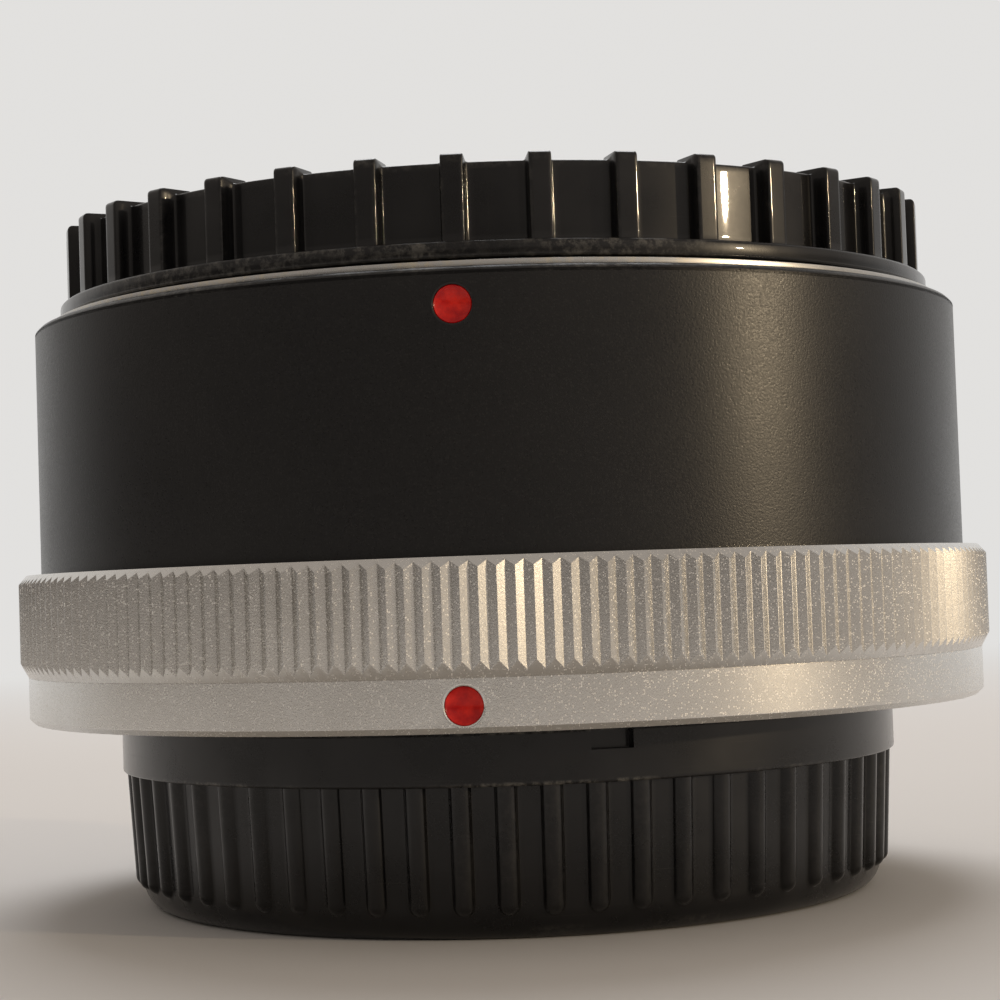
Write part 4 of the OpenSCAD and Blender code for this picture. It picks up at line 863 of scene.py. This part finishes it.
def straight_coil_tree():
    """Straight coil of wire, upright at a place."""
    tree, given, out = geometry_tree("straight_coil", stock="Geometry", turns="Float", coil_r="Float",
                                     wire_r="Float", rise="Float", place="Vector", material="Material")
    spiral = wired(tree, "GeometryNodeCurveSpiral", {
        "Resolution": 16, "Rotations": given["turns"], "Start Radius": given["coil_r"],
        "End Radius": given["coil_r"], "Height": given["rise"]})[0]
    path = wired(tree, "GeometryNodeTransform", {"Geometry": spiral, "Translation": given["place"]})[0]
    return ended(tree, wire_along(tree, path, given["wire_r"]), given, out)


low_end = polar(PLUNGER_ANGLE, PLUNGER_R, PLUNGER_SPRING_LOW_Z)
high_end = polar(PLUNGER_ANGLE, PLUNGER_R, PLUNGER_SPRING_HIGH_Z)
mesh = grown(straight_coil_tree(), bpy.data.meshes.new("stock"), turns=PLUNGER_COILS,
             coil_r=PLUNGER_COIL_R * MM, wire_r=WIRE_R * MM, rise=high_end[2] - low_end[2], place=low_end,
             material=lever_steel)
work, wear = new_work()
sprung(joined("aperture_pin_spring_coil", work, mesh), "aperture_pin_spring")
eased("aperture_pin", "aperture_pin_rod", 0.15, lever_steel, "aperture_plunger", "lever_steel")

# Barrel: the fixed black tube that carries everything. Turned aluminium, fine-blasted and anodised satin
# black, with a rounded front edge, an inner ledge for the mount plate and grooves for the two circlips.
BARREL_R, BARREL_BORE_R, BARREL_LOW_Z, BARREL_TOP_Z, BARREL_EDGE = 31.0, 29.0, 20.4, 38.2, 0.5
LEDGE_R, LEDGE_LOW_Z, LEDGE_TOP_Z = 26.4, 34.6, 36.6
GROOVE_R, GROOVES = 29.5, ((26.65, 27.45), (24.35, 25.15))
BARREL_DOT_Z, BARREL_PLAIN_Z, BARREL_WINDOW_Z = 36.05, 27, (34.6, 37.5)
# Satin black anodising on blasted aluminium: deep black with faint rubbing and a fine sparkle, partly painted
# as lighter glint grains.
barrel_black = new_finish(
    "barrel_black", (0.0042, 0.0040, 0.0044), (0.0065, 0.0061, 0.0060),
    # The glint layer is painted highlight: a few grains made lighter, standing in for sparkle.
    layers=(("glint", 0.12, (0.05, 0.048, 0.044)), ("line", 1, (0.05, 0.049, 0.047)),
            ("scuff", 1, (0.2, 0.19, 0.175))),
    rough=(0.17, ("blotch", 0.04), ("height", 0.28), ("glint", 0.05)), relief=(11, ("height", 1)),
    fixed={"IOR": 1.45}, grain_mm=0.13, glints=0.3, blotch_mm=11, lines=0.1, scuffs=0.5)
barrel_window = levels(*BARREL_WINDOW_Z, WINDOW_CELLS)
barrel_bore = [(BARREL_BORE_R, BARREL_TOP_Z, 0.05), (BARREL_BORE_R, LEDGE_TOP_Z, 0),
               (LEDGE_R, LEDGE_TOP_Z, 0.1), (LEDGE_R, LEDGE_LOW_Z, 0.1), (BARREL_BORE_R, LEDGE_LOW_Z, 0)]
for low, high in GROOVES:
    barrel_bore += [(BARREL_BORE_R, high, 0), (GROOVE_R, high, 0), (GROOVE_R, low, 0),
                    (BARREL_BORE_R, low, 0)]
barrel_bore.append((BARREL_BORE_R, BARREL_LOW_Z, 0.1))
barrel_outline = rounded(
    [(BARREL_R, BARREL_LOW_Z, 0.1), (BARREL_R, BARREL_PLAIN_Z, 0)] + [(BARREL_R, z, 0) for z in barrel_window]
    + [(BARREL_R, BARREL_TOP_Z, BARREL_EDGE)] + barrel_bore, steps=5)
work, wear = new_work()
dimpled(work, wear, lambda angle: barrel_outline, BARREL_R, BARREL_DOT_Z, barrel_window)
fitted(joined("barrel_tube", work), barrel_black, "converter", "barrel_black", "barrel")

# Barrel index dot: the fixed mark that the ring's dot is turned against. The same red enamel, run into
# the barrel's own drilled dimple.
fitted(enamel_drop("barrel_dot_enamel", BARREL_R, BARREL_DOT_Z), index_red, "converter", "index_red",
       "barrel_index_dot")

# Front baffle: a stamped plate in the throat that stops stray light, slotted for the levers, painted flat
# black and held under the ledge by three small screws.
eased("front_baffle", "front_baffle_stamping", 0.06, inner_black, "converter", "inner_black")
dress(screw_steel, "baffle_screws")

# Front mount: the bright plate that takes the lens, with a neck and three claws. Turned and chromed, held on
# the barrel's ledge by four slotted screws whose heads lie flush.
FLANGE_SCREW_R, FLANGE_TOP_Z = 27.96, 38.6
eased("front_flange", "front_flange_plate", 0.06, mount_chrome, "converter", "mount_chrome")
set_screws("front_flange_slotted_screws", "converter", "front_flange_screws", 4, 45,
           FLANGE_SCREW_R, FLANGE_TOP_Z, HEAD_R, SHANK_R, length=3.6, up=False, seed=11)

# Front cap: the lens-side dust cap. Black injection-moulded plastic with thirty-six grip ribs that stand a
# little past its top, a lip at its foot, a shallow hollow on top, and three bayonet tabs inside.
RIBS = 36
SKIRT_IN_R, SKIRT_OUT_R, RIB_R, FRONT_LIP_R = 26.55, 27.8, 28.85, 29.3
FRONT_LOW_Z, FRONT_LIP_Z, CEILING_Z, FRONT_TOP_Z, RIB_TOP_Z = 38.8, 39.8, 43.15, 44.5, 44.85
RIB_ROOT_HALF, RIB_FACE_HALF, RIB_END_R = 0.78, 0.62, 26.2
HOLLOW_R, HOLLOW_DEPTH = 24.0, 0.5
TAB_R, TAB_TOP_Z = 25.25, 40.0


def cap_outline(rise):
    """Outline of the cap from its ceiling out, down and up to its top. A rise of 0 is wall, 1 is rib."""
    out = SKIRT_OUT_R + (RIB_R - SKIRT_OUT_R) * rise
    top = FRONT_TOP_Z + (RIB_TOP_Z - FRONT_TOP_Z) * rise
    edge, lip_edge, foot, hollow = 0.14 + 0.16 * rise, 0.2, 0.08, FRONT_TOP_Z - HOLLOW_DEPTH
    outline = [(0, CEILING_Z, 0)] + arc(SKIRT_IN_R - 0.3, CEILING_Z - 0.3, 0.3, 90, 0, 0)
    outline += arc(SKIRT_IN_R + 0.15, FRONT_LOW_Z + 0.15, 0.15, 180, 270, 0)
    outline += [(FRONT_LIP_R - 0.4, FRONT_LOW_Z, 0)]
    outline += arc(FRONT_LIP_R - lip_edge, FRONT_LOW_Z + lip_edge, lip_edge, -90, 0, 0.6)
    outline += [(FRONT_LIP_R, FRONT_LIP_Z - 0.5, 0.4)]
    outline += arc(FRONT_LIP_R - lip_edge, FRONT_LIP_Z - lip_edge, lip_edge, 0, 90, 0.8)
    outline += arc(out + foot, FRONT_LIP_Z + foot, foot, -90, -180, -0.6) + [(out, FRONT_LIP_Z + 0.5, 0)]
    outline += [(out, top - edge - 0.3, 0)] + arc(out - edge, top - edge, edge, 0, 90, 0.35)
    outline += [(out - edge - 0.2, top, 0), (RIB_END_R + 0.4, top, 0),
                (RIB_END_R + 0.3, top - 0.04 * rise, 0.3), (RIB_END_R, FRONT_TOP_Z, 0),
                (RIB_END_R - 0.1, FRONT_TOP_Z, 0), (HOLLOW_R + 0.3, FRONT_TOP_Z, 0)]
    outline += [(HOLLOW_R + 0.06, FRONT_TOP_Z, 0.3), (HOLLOW_R - 0.04, FRONT_TOP_Z - 0.04, 0.3),
                (HOLLOW_R - 0.45, hollow + 0.05, 0), (HOLLOW_R - 0.56, hollow, -0.4),
                (HOLLOW_R - 1, hollow, 0), (0, hollow, 0)]
    return outline


def rib_slice():
    """One of the thirty-six slices of the cap, with a tapered rib in its middle."""
    work, wear = new_work()
    half = math.radians(180 / RIBS) * RIB_R
    flank = RIB_ROOT_HALF - RIB_FACE_HALF
    stations = [(half, 0, 0), (RIB_ROOT_HALF + 0.5, 0, 0), (RIB_ROOT_HALF + 0.12, 0, -0.3)]
    stations += [(RIB_ROOT_HALF + 0.03, 0.03, -0.6), (RIB_ROOT_HALF - 0.03, 0.1, -0.3),
                 (RIB_FACE_HALF + flank * 0.5, 0.5, 0), (RIB_FACE_HALF + 0.03, 0.92, 0.2),
                 (RIB_FACE_HALF, 0.97, 0.35), (RIB_FACE_HALF - 0.05, 1, 0.2), (RIB_FACE_HALF - 0.2, 1, 0)]
    stations = [(-u, rise, rub) for u, rise, rub in stations] + stations[::-1]
    columns = []
    for u, rise, rub in stations:
        column = []
        for r, z, edge in cap_outline(rise):
            on_rib = FRONT_LIP_Z < z < RIB_TOP_Z and r > RIB_END_R
            place = polar(math.degrees(u / RIB_R), r, z)
            column.append(point(work, wear, place, max(edge, rub) if on_rib else edge))
        columns.append(column)
    for left, right in zip(columns, columns[1:]):
        strip(work, left, right)
    return as_mesh("rib_slice", work)


ribbed_skin = grown(slices, rib_slice(), count=RIBS, weld=WELD, material=cap_plastic)
work, wear = new_work()
for centre in (0, 120, 240):
    lug(work, wear, centre, (TAB_R, FRONT_LOW_Z + 0.02), (SKIRT_IN_R + 0.3, TAB_TOP_Z))
fitted(joined("front_cap_moulding", work, ribbed_skin), cap_plastic, "front_cap", "cap_plastic", "front_cap")

# Studio: a plain pale paper floor that fades into the background, a darker room in front, a small warm lamp
# to the right and a broad one above and behind.
FLOOR_COLOUR, BACKDROP_COLOUR, ROOM_COLOUR = (0.68, 0.66, 0.64), (0.76, 0.75, 0.735), (1.0, 0.9, 0.81)
FLOOR_R, FADE_FROM, FADE_TO, AIM_Z = 3.0, 0.12, 0.5, 0.024


def seen_directly(tree, behind):
    """1 for what the camera sees, or what metal and glass show of the part behind, and 0 for other light."""
    rays = wired(tree, "ShaderNodeLightPath")
    mirrored = calc(tree, "MAXIMUM", rays["Is Glossy Ray"], rays["Is Transmission Ray"])
    return calc(tree, "MAXIMUM", rays["Is Camera Ray"], times(tree, mirrored, behind))


def paper_finish():
    """Matt pale paper, lit near the object and the backdrop's own tone further away."""
    material = bpy.data.materials.new("pale_paper")
    material.use_nodes = True
    tree = material.node_tree
    shader = tree.nodes["Principled BSDF"]
    place = wired(tree, "ShaderNodeTexCoord")["Object"]
    cloud = noise(tree, place, 14.0, 3.0)
    pale = [c * 0.97 for c in FLOOR_COLOUR]
    tree.links.new(mixed(tree, cloud, pale, FLOOR_COLOUR), shader.inputs["Base Color"])
    shader.inputs["Roughness"].default_value = 0.9
    away = wired(tree, "ShaderNodeVectorMath", {0: place}, operation="LENGTH")["Value"]
    fade = wired(tree, "ShaderNodeMapRange", {"Value": away, "From Min": FADE_FROM, "From Max": FADE_TO},
                 interpolation_type="SMOOTHSTEP")[0]
    behind = ranged(tree, wired(tree, "ShaderNodeSeparateXYZ", {0: place})["Y"], 0.05, 0.3)
    glow = wired(tree, "ShaderNodeEmission", {"Color": (*BACKDROP_COLOUR, 1)})[0]
    both = wired(tree, "ShaderNodeMixShader", {
        0: times(tree, fade, seen_directly(tree, behind)), 1: shader.outputs[0], 2: glow})[0]
    tree.links.new(both, tree.nodes["Material Output"].inputs["Surface"])
    return material


work, wear = new_work()
bmesh.ops.create_circle(work, cap_ends=True, segments=96, radius=FLOOR_R)
floor = placed("floor", as_mesh("floor", work))
floor.data.materials.append(paper_finish())

world = bpy.data.worlds.new("studio")
bpy.context.scene.world = world
world.use_nodes = True
tree = world.node_tree
facing = wired(tree, "ShaderNodeSeparateXYZ", {0: wired(tree, "ShaderNodeTexCoord")["Generated"]})
behind = ranged(tree, facing["Y"], 0.2, 0.9)
above = ranged(tree, facing["Z"], 0.1, 0.18)
to_the_lamp = weighed(tree, times(tree, facing["X"], 0.87), (facing["Y"], -0.5))
warm_side = ranged(tree, to_the_lamp, 0.55, 1.0)
strength = weighed(tree, 0.05, (behind, 0.2), (above, 0.36), (warm_side, 0.25))
room = wired(tree, "ShaderNodeBackground", {"Color": (*ROOM_COLOUR, 1), "Strength": strength})[0]
paper = wired(tree, "ShaderNodeBackground", {"Color": (*BACKDROP_COLOUR, 1)})[0]
tree.links.new(wired(tree, "ShaderNodeMixShader", {0: seen_directly(tree, behind), 1: room, 2: paper})[0],
               tree.nodes["World Output"].inputs["Surface"])


def lamp(name, azimuth, elevation, distance, size, watts, colour):
    """Round lamp that faces the object, at an azimuth from the index towards +X."""
    light = bpy.data.lights.new(name, "AREA")
    light.shape, light.size, light.energy, light.color = "DISK", size, watts, colour
    made = placed(name, light)
    a, e = math.radians(azimuth), math.radians(elevation)
    back = Vector((math.sin(a) * math.cos(e), -math.cos(a) * math.cos(e), math.sin(e)))
    made.location = Vector((0, 0, AIM_Z)) + back * distance
    made.rotation_euler = (-back).to_track_quat("-Z", "Y").to_euler()


lamp("key", azimuth=69, elevation=10.3, distance=1.5, size=0.04, watts=6.2, colour=(1.0, 0.79, 0.52))
lamp("top", azimuth=180, elevation=64, distance=0.6, size=0.4, watts=1.9, colour=(0.97, 0.98, 1.0))

# Camera: at the photo's view, close to the object and nearly level, a little to the right of the index dots,
# with the frame rolled a little.
VIEW_AZIMUTH, VIEW_DISTANCE, VIEW_HEIGHT, VIEW_PITCH, VIEW_ROLL = 4.2, 155.16, 20.4, 2.17, 1.958
SENSOR, LENS, CLIP_FROM = 36.0, 81.36, 0.005
lens = bpy.data.cameras.new("view")
lens.sensor_width, lens.lens, lens.clip_start = SENSOR, LENS, CLIP_FROM
view = placed("view", lens)
view.location = polar(VIEW_AZIMUTH, VIEW_DISTANCE, VIEW_HEIGHT)
ahead = -Vector(polar(VIEW_AZIMUTH, 1, 0)).normalized()
ahead.z = math.tan(math.radians(VIEW_PITCH))
level = ahead.to_track_quat("-Z", "Y").to_matrix()
view.rotation_euler = (level @ Matrix.Rotation(math.radians(-VIEW_ROLL), 3, "Z")).to_euler()
bpy.context.scene.camera = view
bpy.context.scene.view_settings.view_transform = "Standard"
